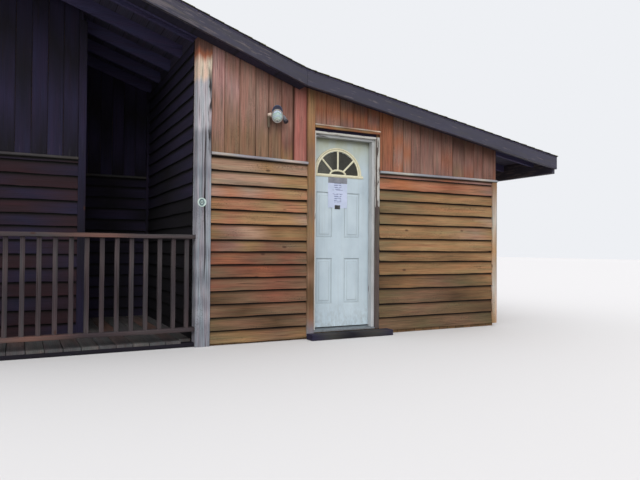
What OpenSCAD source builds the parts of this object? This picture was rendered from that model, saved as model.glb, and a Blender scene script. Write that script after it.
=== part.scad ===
// Wooden outhouse: a timber building with lap siding, vertical boards, a steel
// entry door with a fanlight, a roof in two pitches and a covered porch.
// X runs along the front from left to right, Y runs into the building, Z is up.

/* [Building] */
// Width of the room along its front
room_w = 3780; // [3300:10:4600]
// Depth of the building from front to back
room_d = 2440; // [2000:10:3600]
// Height of the floor above the ground
floor_top = 65; // [50:1:120]
// Thickness of the wall frame with its lining
wall_t = 120; // [90:1:160]
// Depth of the cladding in front of the wall frame
clad_t = 20; // [16:1:26]

/* [Porch and wing] */
// Width of the covered porch passage beside the room
porch_w = 900; // [700:10:1300]
// Width of the closed wing left of the passage
wing_w = 1540; // [1200:10:2400]
// How far the wing stands back from the front
wing_back = 950; // [700:10:1100]

/* [Roof] */
// Height of the roof surface where the two pitches meet
break_top = 2738; // [2650:1:2900]
// Distance of that line from the left corner of the room
break_x = 1060; // [900:1:1200]
// Rise of the upper pitch for each unit across
pitch_up = 0.333; // [0.2:0.001:0.45]
// Rise of the lower pitch for each unit across
pitch_low = 0.165; // [0.1:0.001:0.2]
// Overhang at the front and back
verge = 200; // [120:5:300]
// Overhang past the right wall
eave_right = 850; // [500:10:1000]
// Overhang past the left wall
eave_left = 200; // [120:10:400]
// Thickness of the shingles
roofing_t = 14; // [8:1:24]
// Thickness of the roof boards
deck_t = 16; // [12:1:22]
// Depth of the rafters under the upper pitch
rafter_up = 131; // [100:1:180]
// Depth of the rafters under the lower pitch
rafter_low = 85; // [70:1:120]
// Thickness of rafters, beams and barge boards
timber_t = 38; // [30:1:50]
// Number of rafters on each pitch
rafters = 5; // [4:1:7]
// Thickness of the soffit boards
soffit_t = 14; // [10:1:20]
// Height of the board along the right eave
eave_h = 200; // [160:1:240]
// How far the shingles reach past the barge boards
drip = 12; // [5:1:30]

/* [Cladding] */
// Height of one lap board on the left of the front
lap_left = 129; // [110:1:150]
// Height of one lap board elsewhere
lap_right = 139; // [110:1:150]
// How far the lower edge of a lap board stands out
lap_out = 14; // [8:1:20]
// Face of a lap board's upper edge, behind the trim plane
lap_in = 5; // [2:1:10]
// Width of the vertical boards
board_w = 150; // [110:1:200]
// Gap between two vertical boards
board_gap = 4; // [2:1:6]
// Height of the top of the drip rail on the left, at its left end
rail_left = 1854; // [1700:1:1950]
// Height of the top of the drip rail on the right
rail_right = 1803; // [1700:1:1950]
// Height of a drip rail
rail_h = 34; // [24:1:50]
// Drop of the left drip rail along its length
rail_drop = 22; // [0:1:30]
// How far the drip rails stand out from the trim plane
rail_out = 30; // [20:1:45]
// Height of the top of the drip rail on the wing and at the back of the porch
wing_rail = 1845; // [1700:1:1950]

/* [Posts and trim] */
// Width of the square corner posts
post_w = 140; // [110:1:160]
// How far the corner posts stand out from the trim plane
post_out = 20; // [15:1:30]
// Width of the stained post beside the door
door_post_w = 84; // [70:1:100]
// Distance from that post's left edge to the room's corner
door_post_x = 1161; // [1100:1:1180]
// Thickness of flat trim boards
trim_t = 18; // [12:1:24]
// Width of the corner boards
corner_w = 70; // [50:1:100]

/* [Door] */
// Distance of the door's centre line from the left corner
door_x = 1580; // [1560:1:1640]
// Width of the door slab
door_w = 813; // [760:1:864]
// Height of the door slab
door_h = 2032; // [1930:1:2032]
// Thickness of the door slab
door_t = 44; // [35:1:50]
// Height of the door slab's lower edge above the floor
door_lift = 35; // [30:1:45]
// Running gap at the sides and top of the door
door_gap = 6; // [5:1:8]
// Thickness of the door frame
jamb_t = 30; // [24:1:38]
// Width of the stop that the closed door stands behind
stop_w = 24; // [8:1:30]
// Width of the white moulding beside the door
mould_w = 50; // [40:1:60]
// Height of the sill
sill_h = 25; // [20:1:28]
// How far the step reaches out in front of the door
step_out = 130; // [60:5:400]
// Radius of the fanlight
fan_r = 255; // [200:1:290]
// Distance of the fanlight's base below the top of the slab
fan_drop = 405; // [380:1:460]
// Width of one raised panel of the door
panel_w = 190; // [160:1:210]
// Distance of a raised panel from the door's centre line
panel_x = 82; // [60:1:95]
// Height of the lower panels above the slab's lower edge
panel_foot = 240; // [200:1:280]
// Height of the plain band between lower and upper panels
lock_rail = 218; // [180:1:240]
// Distance of the door knob from the slab's edge
knob_in = 60; // [60:1:70]
// Height of the knob above the slab's lower edge
knob_z = 940; // [860:1:1020]

/* [Railing] */
// Height of the top of the railing above the floor
handrail_z = 990; // [850:5:1070]
// Distance from one baluster to the next
baluster_step = 125; // [100:1:140]
// Thickness of a baluster
baluster_t = 38; // [30:1:45]
// Width of the handrail
handrail_w = 89; // [60:1:100]
// Height of the bottom rail's underside above the floor
low_rail_z = 80; // [50:5:140]

/* [Lamp and disc] */
// Distance of the middle of the lamp's lens from the left corner
lamp_x = 788; // [500:1:1000]
// Height of the middle of that lens above the ground
lamp_z = 2251; // [2100:1:2350]
// Radius of the lamp's lens
lens_r = 62; // [40:1:80]
// Height of the round disc on the corner post
disc_z = 1362; // [1200:1:1500]
// Radius of that disc
disc_r = 42; // [20:1:50]

/* [Hidden] */
$fn = 48;

// Plan lines
wing_x1 = -porch_w;
wing_x0 = wing_x1 - wing_w;
core_y = clad_t;
inner_y = core_y + wall_t + 4;
back_core = room_d - clad_t;
back_in = back_core - wall_t;
side_out = room_w - trim_t - clad_t;
side_in = side_out - wall_t;
roof_x0 = wing_x0 - eave_left;
roof_x1 = room_w + eave_right;
roof_y0 = -verge;
roof_y1 = room_d + verge;
porch_y = back_in - clad_t;
strip = 30;
corner_in = corner_w - trim_t;
corner_arm = trim_t + clad_t;
butt_gap = 2;

// Depths below the roof surface, all measured straight down
seat = 0.3;
deck_foot = roofing_t + deck_t;
deck_under = deck_foot + seat;
up_under = deck_under + rafter_up;
low_under = deck_under + rafter_low;
barge_under = up_under + soffit_t;

// Door lines
slab_z = floor_top + door_lift;
fan_z = door_h - fan_drop;
slab_x0 = door_x - door_w / 2;
slab_x1 = door_x + door_w / 2;
slab_y1 = inner_y;
slab_y0 = slab_y1 - door_t;
open_x0 = slab_x0 - door_gap;
open_x1 = slab_x1 + door_gap;
open_top = slab_z + door_h + door_gap;
frame_x0 = open_x0 - jamb_t;
frame_x1 = open_x1 + jamb_t;
frame_top = open_top + jamb_t;
mould_in = 10;
mould_out = 10;
mould_x1 = open_x1 + mould_in + mould_w;
cap_z0 = open_top + 82;
cap_h = 22;
cap_out = 24;
hinge_r = 6;
hinge_x = slab_x1 + door_gap / 2;
hinge_y = slab_y1 + hinge_r + 0.3;

// Everything is drawn about the middle of the roof's outline
mid_x = (roof_x0 - drip + roof_x1 + drip) / 2;
mid_y = (roof_y0 - drip + roof_y1 + drip) / 2;

function roof_top(x) = x < break_x ? break_top + pitch_up * (break_x - x)
    : break_top - pitch_low * (x - break_x);
function stations(x0, x1) = [x0, if (x0 < break_x && x1 > break_x) break_x, x1];
function backwards(list) = [for (i = [len(list) - 1:-1:0]) list[i]];
function rafter_y(i) = inner_y + timber_t / 2
    + i * (back_in - inner_y - timber_t) / (rafters - 1);

module placed() {
    translate([-mid_x, -mid_y, 0]) children();
}

// An upright outline in X and Z, carried from y0 to y1
module through_y(y0, y1) {
    translate([0, y1, 0]) rotate([90, 0, 0]) linear_extrude(y1 - y0) children();
}

module block(x0, x1, y0, y1, z0, z1) {
    translate([x0, y0, z0]) cube([x1 - x0, y1 - y0, z1 - z0]);
}

// A band that follows the roof between two depths below its surface
module roof_band(x0, x1, y0, y1, upper, lower) {
    xs = stations(x0, x1);
    through_y(y0, y1) polygon(concat(
        [for (x = xs) [x, roof_top(x) - upper]],
        [for (x = backwards(xs)) [x, roof_top(x) - lower]]));
}

// A wall or post from height z0 up to its seat at a depth below the roof surface
module wall_up(x0, x1, y0, y1, z0, depth) {
    xs = stations(x0, x1);
    through_y(y0, y1) polygon(concat(
        [for (x = xs) [x, roof_top(x) - depth - seat]], [[x1, z0], [x0, z0]]));
}

// Saw-tooth section of lap boards, butt edges towards minus Y
function lap_count(base, top, step) = ceil((top - base) / step - 0.001);
function lap_face(z, foot, step) = -lap_out + (lap_out + lap_in) * (z - foot) / step;
function lap_points(base, top, step) = concat([[clad_t, base]],
    [for (k = [0:lap_count(base, top, step) - 1])
        let (foot = base + k * step, head = min(top, foot + step))
        each [[-lap_out, foot], [lap_face(head, foot, step), head]]],
    [[clad_t, top]]);

module laps(length, base, top, step) {
    rotate([90, 0, 90]) linear_extrude(length) polygon(lap_points(base, top, step));
}

// Floors and step
post_back = post_w - post_out;

module room_floor() {
    color("#6f5a44") placed() difference() {
        block(clad_t, side_out, core_y, back_core, 0, floor_top);
        block(0, post_w, -post_out, post_back, -1, floor_top + 1);
    }
}

module porch_floor() {
    color("#6b6055") placed() difference() {
        block(wing_x0 + clad_t, clad_t, core_y, back_core, 0, floor_top);
        block(wing_x0, wing_x0 + post_w, -post_out, post_back, -1, floor_top + 1);
        block(0, post_w, -post_out, post_back, -1, floor_top + 1);
    }
}

step_over = 90;
step_x0 = door_post_x;
step_x1 = mould_x1 + step_over;
step_gap = 5;
step_back = -trim_t - seat;

module doorstep() {
    color("#3c3a3a") placed()
        block(step_x0, step_x1, step_back - step_out, step_back, 0,
            floor_top - step_gap);
}

sill_out = 12;

module door_sill() {
    color("#c9ccce") placed() difference() {
        through_x(open_x0, open_x1) polygon([
            [-sill_out, floor_top], [-sill_out, floor_top + sill_h * 0.6],
            [slab_y0, floor_top + sill_h], [slab_y1, floor_top + sill_h],
            [slab_y1, floor_top]]);
        block(door_post_x, door_post_x + door_post_w, -post_out, core_y,
            floor_top - 1, slab_z);
    }
}

// An outline in Y and Z, carried from x0 to x1
module through_x(x0, x1) {
    translate([x0, 0, 0]) rotate([90, 0, 90]) linear_extrude(x1 - x0) children();
}

// Wall frames
module front_wall_left() {
    color("#7a4a2c") placed()
        wall_up(post_w, frame_x0, core_y, inner_y, floor_top, deck_under);
}

module front_wall_right() {
    color("#7a4a2c") placed()
        wall_up(frame_x1, side_in, core_y, inner_y, floor_top, deck_under);
}

module front_wall_over_door() {
    color("#7a4a2c") placed()
        wall_up(frame_x0, frame_x1, core_y, inner_y, frame_top, deck_under);
}

module left_wall() {
    color("#5c3a26") placed()
        wall_up(clad_t, post_w, post_back, back_core, floor_top, up_under);
}

module right_wall() {
    color("#5c3a26") placed()
        wall_up(side_in, side_out, core_y, back_core, floor_top, low_under);
}

module back_wall() {
    color("#5c3a26") placed()
        wall_up(post_w, side_in, back_in, back_core, floor_top, deck_under);
}

module porch_back_wall() {
    color("#5c3a26") placed()
        wall_up(wing_x1 - clad_t, clad_t, back_in, back_core, floor_top, deck_under);
}

wing_core_y = wing_back + clad_t;
wing_in_x0 = wing_x0 + clad_t + wall_t;
wing_in_x1 = wing_x1 - clad_t - wall_t;

module wing_front_wall() {
    color("#5c3a26") placed() wall_up(wing_in_x0, wing_in_x1, wing_core_y,
        wing_core_y + wall_t, floor_top, deck_under);
}

module wing_side_wall() {
    color("#5c3a26") placed()
        wall_up(wing_in_x1, wing_x1 - clad_t, wing_core_y, back_core, floor_top, up_under);
}

module wing_end_wall() {
    color("#5c3a26") placed()
        wall_up(wing_x0 + clad_t, wing_in_x0, wing_core_y, back_core, floor_top, up_under);
}

module wing_back_wall() {
    color("#5c3a26") placed()
        wall_up(wing_in_x0, wing_in_x1, back_in, back_core, floor_top, deck_under);
}

// Lap siding
lap_base_left = rail_left - rail_h - 14 * lap_left + 4;
lap_base = 35;
tall = 4200;

module front_laps_left() {
    rail_foot = rail_left - rail_h;
    color("#b0703f") placed() intersection() {
        translate([post_w, 0, 0])
            laps(door_post_x - post_w, lap_base_left, rail_left, lap_left);
        through_y(-lap_out - 1, core_y) polygon([[post_w, 0], [door_post_x, 0],
            [door_post_x, rail_foot - rail_drop], [post_w, rail_foot]]);
    }
}

// A flat board closes what is left between the highest lap and the right rail
frieze_out = 6;
frieze_least = 30;
frieze_foot = lap_base + lap_right
    * floor((rail_right - rail_h - lap_base - frieze_least) / lap_right);

module front_laps_right() {
    color("#a86a3d") placed() {
        translate([mould_x1, 0, 0])
            laps(room_w - corner_w - mould_x1, lap_base, frieze_foot, lap_right);
        block(mould_x1, room_w - corner_w, -frieze_out, core_y, frieze_foot,
            rail_right - rail_h);
    }
}

module left_wall_laps() {
    color("#4a2c20") placed() intersection() {
        translate([0, porch_y - strip, 0]) rotate([0, 0, -90])
            laps(porch_y - strip - post_back, lap_base, tall, lap_right);
        wall_up(-lap_out - 1, clad_t, 0, room_d, floor_top, up_under);
    }
}

module right_wall_laps() {
    color("#8a5433") placed() intersection() {
        translate([room_w - trim_t, corner_in, 0]) rotate([0, 0, 90])
            laps(room_d - 2 * corner_in, lap_base, tall, lap_right);
        wall_up(side_out, room_w + lap_out, 0, room_d, 0, low_under);
    }
}

module back_wall_laps() {
    run = room_w - corner_w - wing_x0 - corner_in;
    color("#8a5433") placed() intersection() {
        translate([room_w - corner_w, room_d, 0]) rotate([0, 0, 180])
            laps(run, lap_base, tall, lap_right);
        wall_up(wing_x0, room_w, back_core, room_d + lap_out + 1, 0, deck_under);
    }
}

module wing_laps() {
    end_run = room_d - wing_back - 2 * corner_in;
    side_y0 = wing_back + corner_in;
    rail_foot = wing_rail - rail_h;
    color("#5a3324") placed() {
        intersection() {
            union() {
                translate([wing_x0 + corner_in, wing_back, 0])
                    laps(wing_w - 2 * corner_in, lap_base, rail_foot, lap_right);
                translate([wing_x1 + strip, porch_y, 0])
                    laps(porch_w - 2 * strip, lap_base, rail_foot, lap_right);
            }
            block(wing_x0, 0, 0, room_d, floor_top, tall);
        }
        intersection() {
            translate([wing_x1, side_y0, 0]) rotate([0, 0, 90])
                laps(porch_y - strip - side_y0, lap_base, tall, lap_right);
            wall_up(wing_x1 - clad_t, wing_x1 + lap_out + 1, 0, room_d,
                floor_top, up_under);
        }
        intersection() {
            translate([wing_x0, room_d - corner_in, 0]) rotate([0, 0, -90])
                laps(end_run, lap_base, tall, lap_right);
            wall_up(wing_x0 - lap_out - 1, wing_x0 + clad_t, 0, room_d, 0, up_under);
        }
    }
}

// Vertical boards above the drip rails
module boards_between(x0, x1, z0, depth = deck_under) {
    count = round((x1 - x0) / board_w);
    pitch = (x1 - x0) / count;
    for (i = [0:count - 1])
        wall_up(x0 + i * pitch + board_gap / 2, x0 + (i + 1) * pitch - board_gap / 2,
            0, core_y, z0, depth);
}

module front_boards_left() {
    color("#9c5a38") placed() difference() {
        boards_between(post_w, door_post_x, rail_left - rail_drop);
        through_y(-1, core_y + 1) polygon([[post_w, 0], [post_w, rail_left],
            [door_post_x, rail_left - rail_drop], [door_post_x, 0]]);
    }
}

module front_boards_right() {
    color("#9c5a38") placed() {
        boards_between(door_post_x + door_post_w, mould_x1, cap_z0 + cap_h);
        boards_between(mould_x1, room_w, rail_right);
    }
}

module wing_boards() {
    color("#6a4030") placed() {
        translate([0, wing_back, 0])
            boards_between(wing_x0 + corner_in, wing_x1 - corner_in, wing_rail);
        translate([0, porch_y, 0])
            boards_between(wing_x1 + strip, -strip, wing_rail, up_under);
    }
}

module wing_rails() {
    color("#6f6a68") placed() {
        block(wing_x0 + corner_in, wing_x1 - corner_in, wing_back - rail_out,
            wing_core_y, wing_rail - rail_h, wing_rail);
        block(wing_x1 + strip, -strip, porch_y - rail_out, back_in,
            wing_rail - rail_h, wing_rail);
    }
}

module drip_rails() {
    rail_foot = rail_left - rail_h;
    color("#8d8b88") placed() {
        through_y(-rail_out, core_y) polygon([[post_w, rail_foot], [post_w, rail_left],
            [door_post_x, rail_left - rail_drop], [door_post_x, rail_foot - rail_drop]]);
        block(mould_x1, room_w, -rail_out, core_y, rail_right - rail_h, rail_right);
    }
}

// Posts and corner boards
module corner_post() {
    color("#8f8c86") placed()
        wall_up(0, post_w, -post_out, post_w - post_out, 0, up_under);
}

module porch_post() {
    color("#8f8c86") placed()
        wall_up(wing_x0, wing_x0 + post_w, -post_out, post_w - post_out, 0, up_under);
}

module door_post() {
    color("#a5602f") placed() wall_up(door_post_x, door_post_x + door_post_w,
        -trim_t, core_y, lap_base, deck_under);
}

// An L-shaped corner board whose outer corner is at x, y and whose legs run
// along dx and dy
module corner_l(x, y, dx, dy, depth, foot = lap_base) {
    xa = dx > 0 ? x : x - corner_w;
    ya = dy > 0 ? y : y - corner_w;
    wall_up(xa, xa + corner_w, dy > 0 ? y : y - corner_arm, dy > 0 ? y + corner_arm : y,
        foot, depth);
    wall_up(dx > 0 ? x : x - corner_arm, dx > 0 ? x + corner_arm : x, ya, ya + corner_w,
        foot, depth);
}

// The front right corner board stops below the drip rail; above it only the leg on the
// side wall goes on, behind the vertical boards. Square strips fill the porch's corners.
module corner_boards() {
    rail_foot = rail_right - rail_h;
    side_x = room_w - corner_arm;
    color("#a98a62") placed() {
        block(room_w - corner_w, room_w, -trim_t, core_y, lap_base, rail_foot);
        block(side_x, room_w, -trim_t, corner_in, lap_base, rail_foot);
        wall_up(side_x, room_w, core_y, corner_in, rail_foot, low_under);
        corner_l(room_w, room_d + trim_t, -1, -1, low_under);
        corner_l(wing_x1 + trim_t, wing_back - trim_t, -1, 1, up_under, floor_top);
        corner_l(wing_x0 - trim_t, wing_back - trim_t, 1, 1, up_under, floor_top);
        corner_l(wing_x0 - trim_t, room_d + trim_t, 1, -1, up_under);
        wall_up(-strip, clad_t, porch_y - strip, back_in, floor_top, up_under);
        wall_up(wing_x1 - clad_t, wing_x1 + strip, porch_y - strip, back_in,
            floor_top, up_under);
    }
}

// Door frame
stop_y = slab_y0 - door_gap;

module jamb(x0, x1, stop_x0, stop_x1) {
    block(x0, x1, core_y, inner_y, floor_top, open_top);
    block(stop_x0, stop_x1, core_y, stop_y, floor_top + sill_h + 1, open_top);
}

module jamb_left() {
    color("#d9dad6") placed() jamb(frame_x0, open_x0, open_x0 - 1, open_x0 + stop_w);
}

module jamb_right() {
    color("#d9dad6") placed() jamb(open_x1, frame_x1, open_x1 - stop_w, open_x1 + 1);
}

module jamb_head() {
    color("#d9dad6") placed() {
        block(frame_x0, frame_x1, core_y, inner_y, open_top, frame_top);
        block(open_x0 + stop_w, open_x1 - stop_w, core_y, stop_y,
            open_top - stop_w, open_top + 1);
    }
}

mould_cove = 9;
cap_gap = 54;
strip_w = 14;
head_z0 = open_top + 2;
head_h = 24;

module door_moulding() {
    color("#d3d4cf") placed() difference() {
        block(open_x1 + mould_in, mould_x1, -mould_out, core_y, floor_top,
            cap_z0 - cap_gap);
        translate([open_x1 + mould_in, -mould_out, 0]) cylinder(r = mould_cove, h = tall);
    }
}

// The strip over the door, and a narrow one down the side of the stained post
module head_moulding() {
    x0 = door_post_x + door_post_w;
    color("#c6c9bd") placed() {
        block(x0, open_x1 + mould_in, -mould_out, core_y, head_z0, head_z0 + head_h);
        block(x0, x0 + strip_w, -mould_out, core_y, floor_top + sill_h + 1, head_z0);
    }
}

module door_drip_cap() {
    color("#6f5947") placed() through_x(door_post_x + door_post_w, mould_x1) polygon([
        [-cap_out, cap_z0], [-cap_out, cap_z0 + cap_h * 0.6], [0, cap_z0 + cap_h],
        [core_y, cap_z0 + cap_h], [core_y, cap_z0]]);
}

// Door leaf
panel_gap = 184;
panel_h = (fan_z - panel_gap - panel_foot - lock_rail) / 2;
panel_feet = [panel_foot, panel_foot + panel_h + lock_rail];
groove = 5;
groove_w = 16;

module raised_panel(x, z, w, h) {
    through_y(slab_y0 - 1, slab_y0 + groove) difference() {
        translate([x, z]) square([w, h]);
        translate([x + groove_w, z + groove_w])
            square([w - 2 * groove_w, h - 2 * groove_w]);
    }
}

// A half disc or half ellipse that stands on a level line of the door
module half_disc(w, h, z) {
    translate([door_x, slab_z + z]) intersection() {
        scale([w / 100, h / 100]) circle(100, $fn = 96);
        translate([-w, 0]) square([2 * w, h]);
    }
}

module door_slab() {
    color("#dfe3e6") placed() difference() {
        block(slab_x0, slab_x1, slab_y0, slab_y1, slab_z, slab_z + door_h);
        for (side = [-1, 1])
            for (foot = panel_feet)
                raised_panel(door_x + side * (panel_x + panel_w / 2) - panel_w / 2,
                    slab_z + foot, panel_w, panel_h);
        through_y(slab_y0 - 1, slab_y1 + 1) half_disc(fan_r, fan_r, fan_z);
    }
}

// Fanlight: a ring with three spokes and a flat half-round hub on a base bar
fan_ring = 42;
fan_lip = 21;
fan_raise = 10;
fan_proud = 12;
fan_win = fan_r - 5;
bar_end = 20;
spoke_w = 16;
hub_w = 103;
hub_h = 55;
spoke_foot = 35;
spoke_start = 46;
fan_base = fan_z + fan_raise;

module spokes() {
    translate([door_x, slab_z + fan_base]) {
        translate([-spoke_w / 2, hub_h - spoke_w / 2]) square([spoke_w, fan_win]);
        for (side = [-1, 1])
            translate([side * spoke_foot, 0]) rotate([0, 0, 90 - side * 45])
                translate([spoke_start, -spoke_w / 2]) square([fan_win, spoke_w]);
    }
}

module fanlight_frame() {
    bar_half = fan_r + fan_ring + bar_end;
    color("#e6dfbf") placed() through_y(slab_y0 - fan_proud, slab_y0) {
        difference() {
            union() {
                half_disc(fan_r + fan_ring, fan_r + fan_ring, fan_z);
                translate([door_x - bar_half, slab_z + fan_z - fan_lip])
                    square([2 * bar_half, fan_lip + fan_raise]);
            }
            half_disc(fan_win, fan_win, fan_base);
        }
        difference() {
            half_disc(hub_w, hub_h, fan_base);
            half_disc(hub_w - spoke_w, hub_h - spoke_w, fan_base);
        }
        intersection() {
            spokes();
            half_disc(fan_win + 2, fan_win + 2, fan_base);
        }
    }
}

glass_t = 8;

module fanlight_glass() {
    color("#2b3432") placed() through_y(slab_y0, slab_y0 + glass_t)
        half_disc(fan_r, fan_r, fan_z);
}

notice_w = 238;
notice_h = 268;
notice_drop = 83;
notice_t = 3;

module door_notice() {
    top = slab_z + fan_z - notice_drop;
    color("#f0f1f3") placed() block(door_x - notice_w / 2, door_x + notice_w / 2,
        slab_y0 - notice_t, slab_y0, top - notice_h, top);
}

knob_r = 26;
rose_r = 32;
knob_out = 58;

module knob_side(dir) {
    rotate([90 * dir, 0, 0]) rotate_extrude() polygon([
        [0, 0], [rose_r, 0], [rose_r, 5], [14, 10], [11, 26], [knob_r * 0.8, 32],
        [knob_r, 40], [knob_r, 48], [knob_r * 0.75, knob_out - 3], [0, knob_out]]);
}

module door_knobs() {
    color("#9a8f7a") placed() {
        translate([slab_x0 + knob_in, slab_y0, slab_z + knob_z]) knob_side(1);
        translate([slab_x0 + knob_in, slab_y1, slab_z + knob_z]) knob_side(-1);
    }
}

hinge_h = 100;
hinge_end = 180;
leaf_w = 30;
leaf_t = 2;

module door_hinges() {
    color("#b8b49c") placed()
        for (z = [hinge_end, (door_h - hinge_h) / 2, door_h - hinge_end - hinge_h])
            translate([0, 0, slab_z + z]) {
                translate([hinge_x, hinge_y, 0]) cylinder(r = hinge_r, h = hinge_h);
                translate([slab_x1 - leaf_w, slab_y1, 0])
                    cube([hinge_x - slab_x1 + leaf_w, leaf_t, hinge_h]);
            }
}

// Roof
module rafter_row(x0, x1, lower) {
    for (i = [0:rafters - 1])
        roof_band(x0, x1, rafter_y(i) - timber_t / 2, rafter_y(i) + timber_t / 2,
            deck_under, lower);
}

module rafters_upper() {
    color("#6a4c36") placed() {
        rafter_row(roof_x0 + timber_t, break_x, up_under);
        roof_band(roof_x0 + timber_t, post_w, core_y, core_y + timber_t,
            deck_under, up_under);
    }
}

module rafters_lower() {
    color("#6a4c36") placed() rafter_row(break_x, roof_x1 - timber_t, low_under);
}

// Blocks that close the gaps between the rafters over the side walls
module block_row(x, first, lower) {
    starts = concat([first], [for (i = [0:rafters - 1]) rafter_y(i) + timber_t / 2]);
    ends = concat([for (i = [0:rafters - 1]) rafter_y(i) - timber_t / 2], [back_core]);
    for (i = [0:rafters])
        if (ends[i] - max(first, starts[i]) > timber_t / 2)
            roof_band(x, x + timber_t, max(first, starts[i]), ends[i],
                deck_under, lower - seat);
}

module rafter_blocks() {
    color("#5c3a26") placed() {
        block_row(clad_t, core_y + timber_t, up_under);
        block_row(side_out - timber_t, core_y, low_under);
        block_row(wing_x1 - clad_t - timber_t, wing_core_y, up_under);
        block_row(wing_x0 + clad_t, wing_core_y, up_under);
    }
}

beam_w = 90;
beam_h = 140;

module break_beam() {
    x0 = break_x - beam_w / 2;
    x1 = break_x + beam_w / 2;
    foot = roof_top(break_x) - up_under - beam_h;
    up = up_under + seat;
    low = low_under + seat;
    color("#6a4c36") placed() through_y(inner_y, back_in) polygon([
        [x0, foot], [x0, roof_top(x0) - up], [break_x + seat, break_top - up],
        [break_x + seat, break_top - low], [x1, roof_top(x1) - low], [x1, foot]]);
}

module roof_deck() {
    color("#7c6b57") placed()
        roof_band(roof_x0, roof_x1, roof_y0, roof_y1, roofing_t, deck_foot);
}

module roofing() {
    color("#4b4a4c") placed()
        roof_band(roof_x0 - drip, roof_x1 + drip, roof_y0 - drip, roof_y1 + drip,
            0, roofing_t - seat);
}

module barge_board_upper() {
    color("#5d5358") placed() roof_band(roof_x0, break_x - butt_gap / 2,
        roof_y0, roof_y0 + timber_t, deck_under, barge_under);
}

module barge_board_lower() {
    color("#5d5358") placed() roof_band(break_x + butt_gap / 2, roof_x1,
        roof_y0, roof_y0 + timber_t, deck_under, barge_under);
}

module barge_board_back() {
    color("#5d5358") placed() roof_band(roof_x0, roof_x1, roof_y1 - timber_t,
        roof_y1, deck_under, barge_under);
}

module eave_boards() {
    color("#5d5358") placed() {
        roof_band(roof_x1 - timber_t, roof_x1, roof_y0 + timber_t,
            roof_y1 - timber_t, deck_under, deck_under + eave_h);
        roof_band(roof_x0, roof_x0 + timber_t, roof_y0 + timber_t,
            roof_y1 - timber_t, deck_under, barge_under);
    }
}

module front_soffit() {
    y0 = roof_y0 + timber_t;
    color("#4e3d35") placed() {
        roof_band(roof_x0 + timber_t, break_x - butt_gap / 2, y0, -post_out,
            up_under, barge_under);
        roof_band(break_x + butt_gap / 2, roof_x1 - timber_t, y0, -post_out,
            low_under, low_under + soffit_t);
    }
}

// Railing of the porch
first_baluster = 53;

module porch_railing() {
    x0 = wing_x0 + post_w;
    run = -x0;
    mid = (post_w - 2 * post_out) / 2;
    count = floor(run / baluster_step);
    top_z = floor_top + handrail_z;
    low_z = floor_top + low_rail_z;
    color("#8d8a84") placed() {
        block(x0, 0, mid - handrail_w / 2, mid + handrail_w / 2, top_z - timber_t, top_z);
        block(x0, 0, mid - handrail_w / 2, mid + handrail_w / 2, low_z, low_z + timber_t);
        for (i = [1:count])
            let (x = first_baluster - i * baluster_step)
                if (x > x0 + baluster_t)
                    block(x - baluster_t / 2, x + baluster_t / 2, mid - baluster_t / 2,
                        mid + baluster_t / 2, low_z + timber_t - 1, top_z - timber_t + 1);
    }
}

// Lamp: a round plate on the wall, a bell that carries the lens, a hood over it, a short
// nub on its left and a small sensor can on its right
plate_r = 45;
plate_t = 14;
lens_out = 100;
bell_l = 66;
lamp_tilt = 13;
lamp_turn = -23;
hood_r = 56;
hood_up = 42;
nub_r = 15;
nub_l = 94;
can_r = 24;
can_l = 88;

module wall_lamp() {
    color("#3a4657") placed() translate([lamp_x, 0, lamp_z]) {
        translate([22, 0, 18]) rotate([90, 0, 0]) cylinder(r = plate_r, h = plate_t);
        translate([22, -plate_t / 2, 18]) rotate([90, 0, 0]) cylinder(r = 20, h = 50);
        translate([0, -lens_out, 0]) rotate([90 + lamp_tilt, 0, lamp_turn]) {
            translate([0, 0, -bell_l]) cylinder(r1 = 30, r2 = lens_r, h = bell_l);
            rotate_extrude() polygon([[0, 0], [lens_r, 0], [lens_r, 6],
                [lens_r * 0.8, 16], [lens_r * 0.4, 24], [0, 26]]);
            translate([0, hood_up, -bell_l]) cylinder(r = hood_r, h = bell_l - 4);
            translate([-nub_l, 8, -bell_l * 0.6]) rotate([0, 90, 0])
                cylinder(r = nub_r, h = nub_l);
        }
        translate([96, -52, 12]) rotate([150, -16, 0]) cylinder(r1 = can_r * 0.7,
            r2 = can_r, h = can_l);
        translate([22, -44, 18]) rotate([0, 98, 0]) cylinder(r = 13, h = 78);
    }
}

disc_t = 2;

module post_disc() {
    color("#cfe0de") placed() translate([post_w * 0.36, -post_out, disc_z])
        rotate([90, 0, 0]) cylinder(r = disc_r, h = disc_t);
}

room_floor();
porch_floor();
doorstep();
door_sill();
front_wall_left();
front_wall_right();
front_wall_over_door();
left_wall();
right_wall();
back_wall();
porch_back_wall();
wing_front_wall();
wing_side_wall();
wing_end_wall();
wing_back_wall();
front_laps_left();
front_laps_right();
left_wall_laps();
right_wall_laps();
back_wall_laps();
wing_laps();
front_boards_left();
front_boards_right();
wing_boards();
wing_rails();
drip_rails();
corner_post();
porch_post();
door_post();
corner_boards();
jamb_left();
jamb_right();
jamb_head();
door_moulding();
head_moulding();
door_drip_cap();
door_slab();
fanlight_frame();
fanlight_glass();
door_notice();
door_knobs();
door_hinges();
rafters_upper();
rafters_lower();
rafter_blocks();
break_beam();
roof_deck();
roofing();
barge_board_upper();
barge_board_lower();
barge_board_back();
eave_boards();
front_soffit();
porch_railing();
wall_lamp();
post_disc();
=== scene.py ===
"""Dresses the wooden outhouse: boards, posts, shingles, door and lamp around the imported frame.

Places are worked out in plan metres: x from the left face of the corner post, y from the
front trim plane into the building, z up from the ground. ORIGIN moves them to the frame.
"""
import math
from functools import partial

import bpy
import numpy as np
from mathutils import Matrix, Vector


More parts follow.
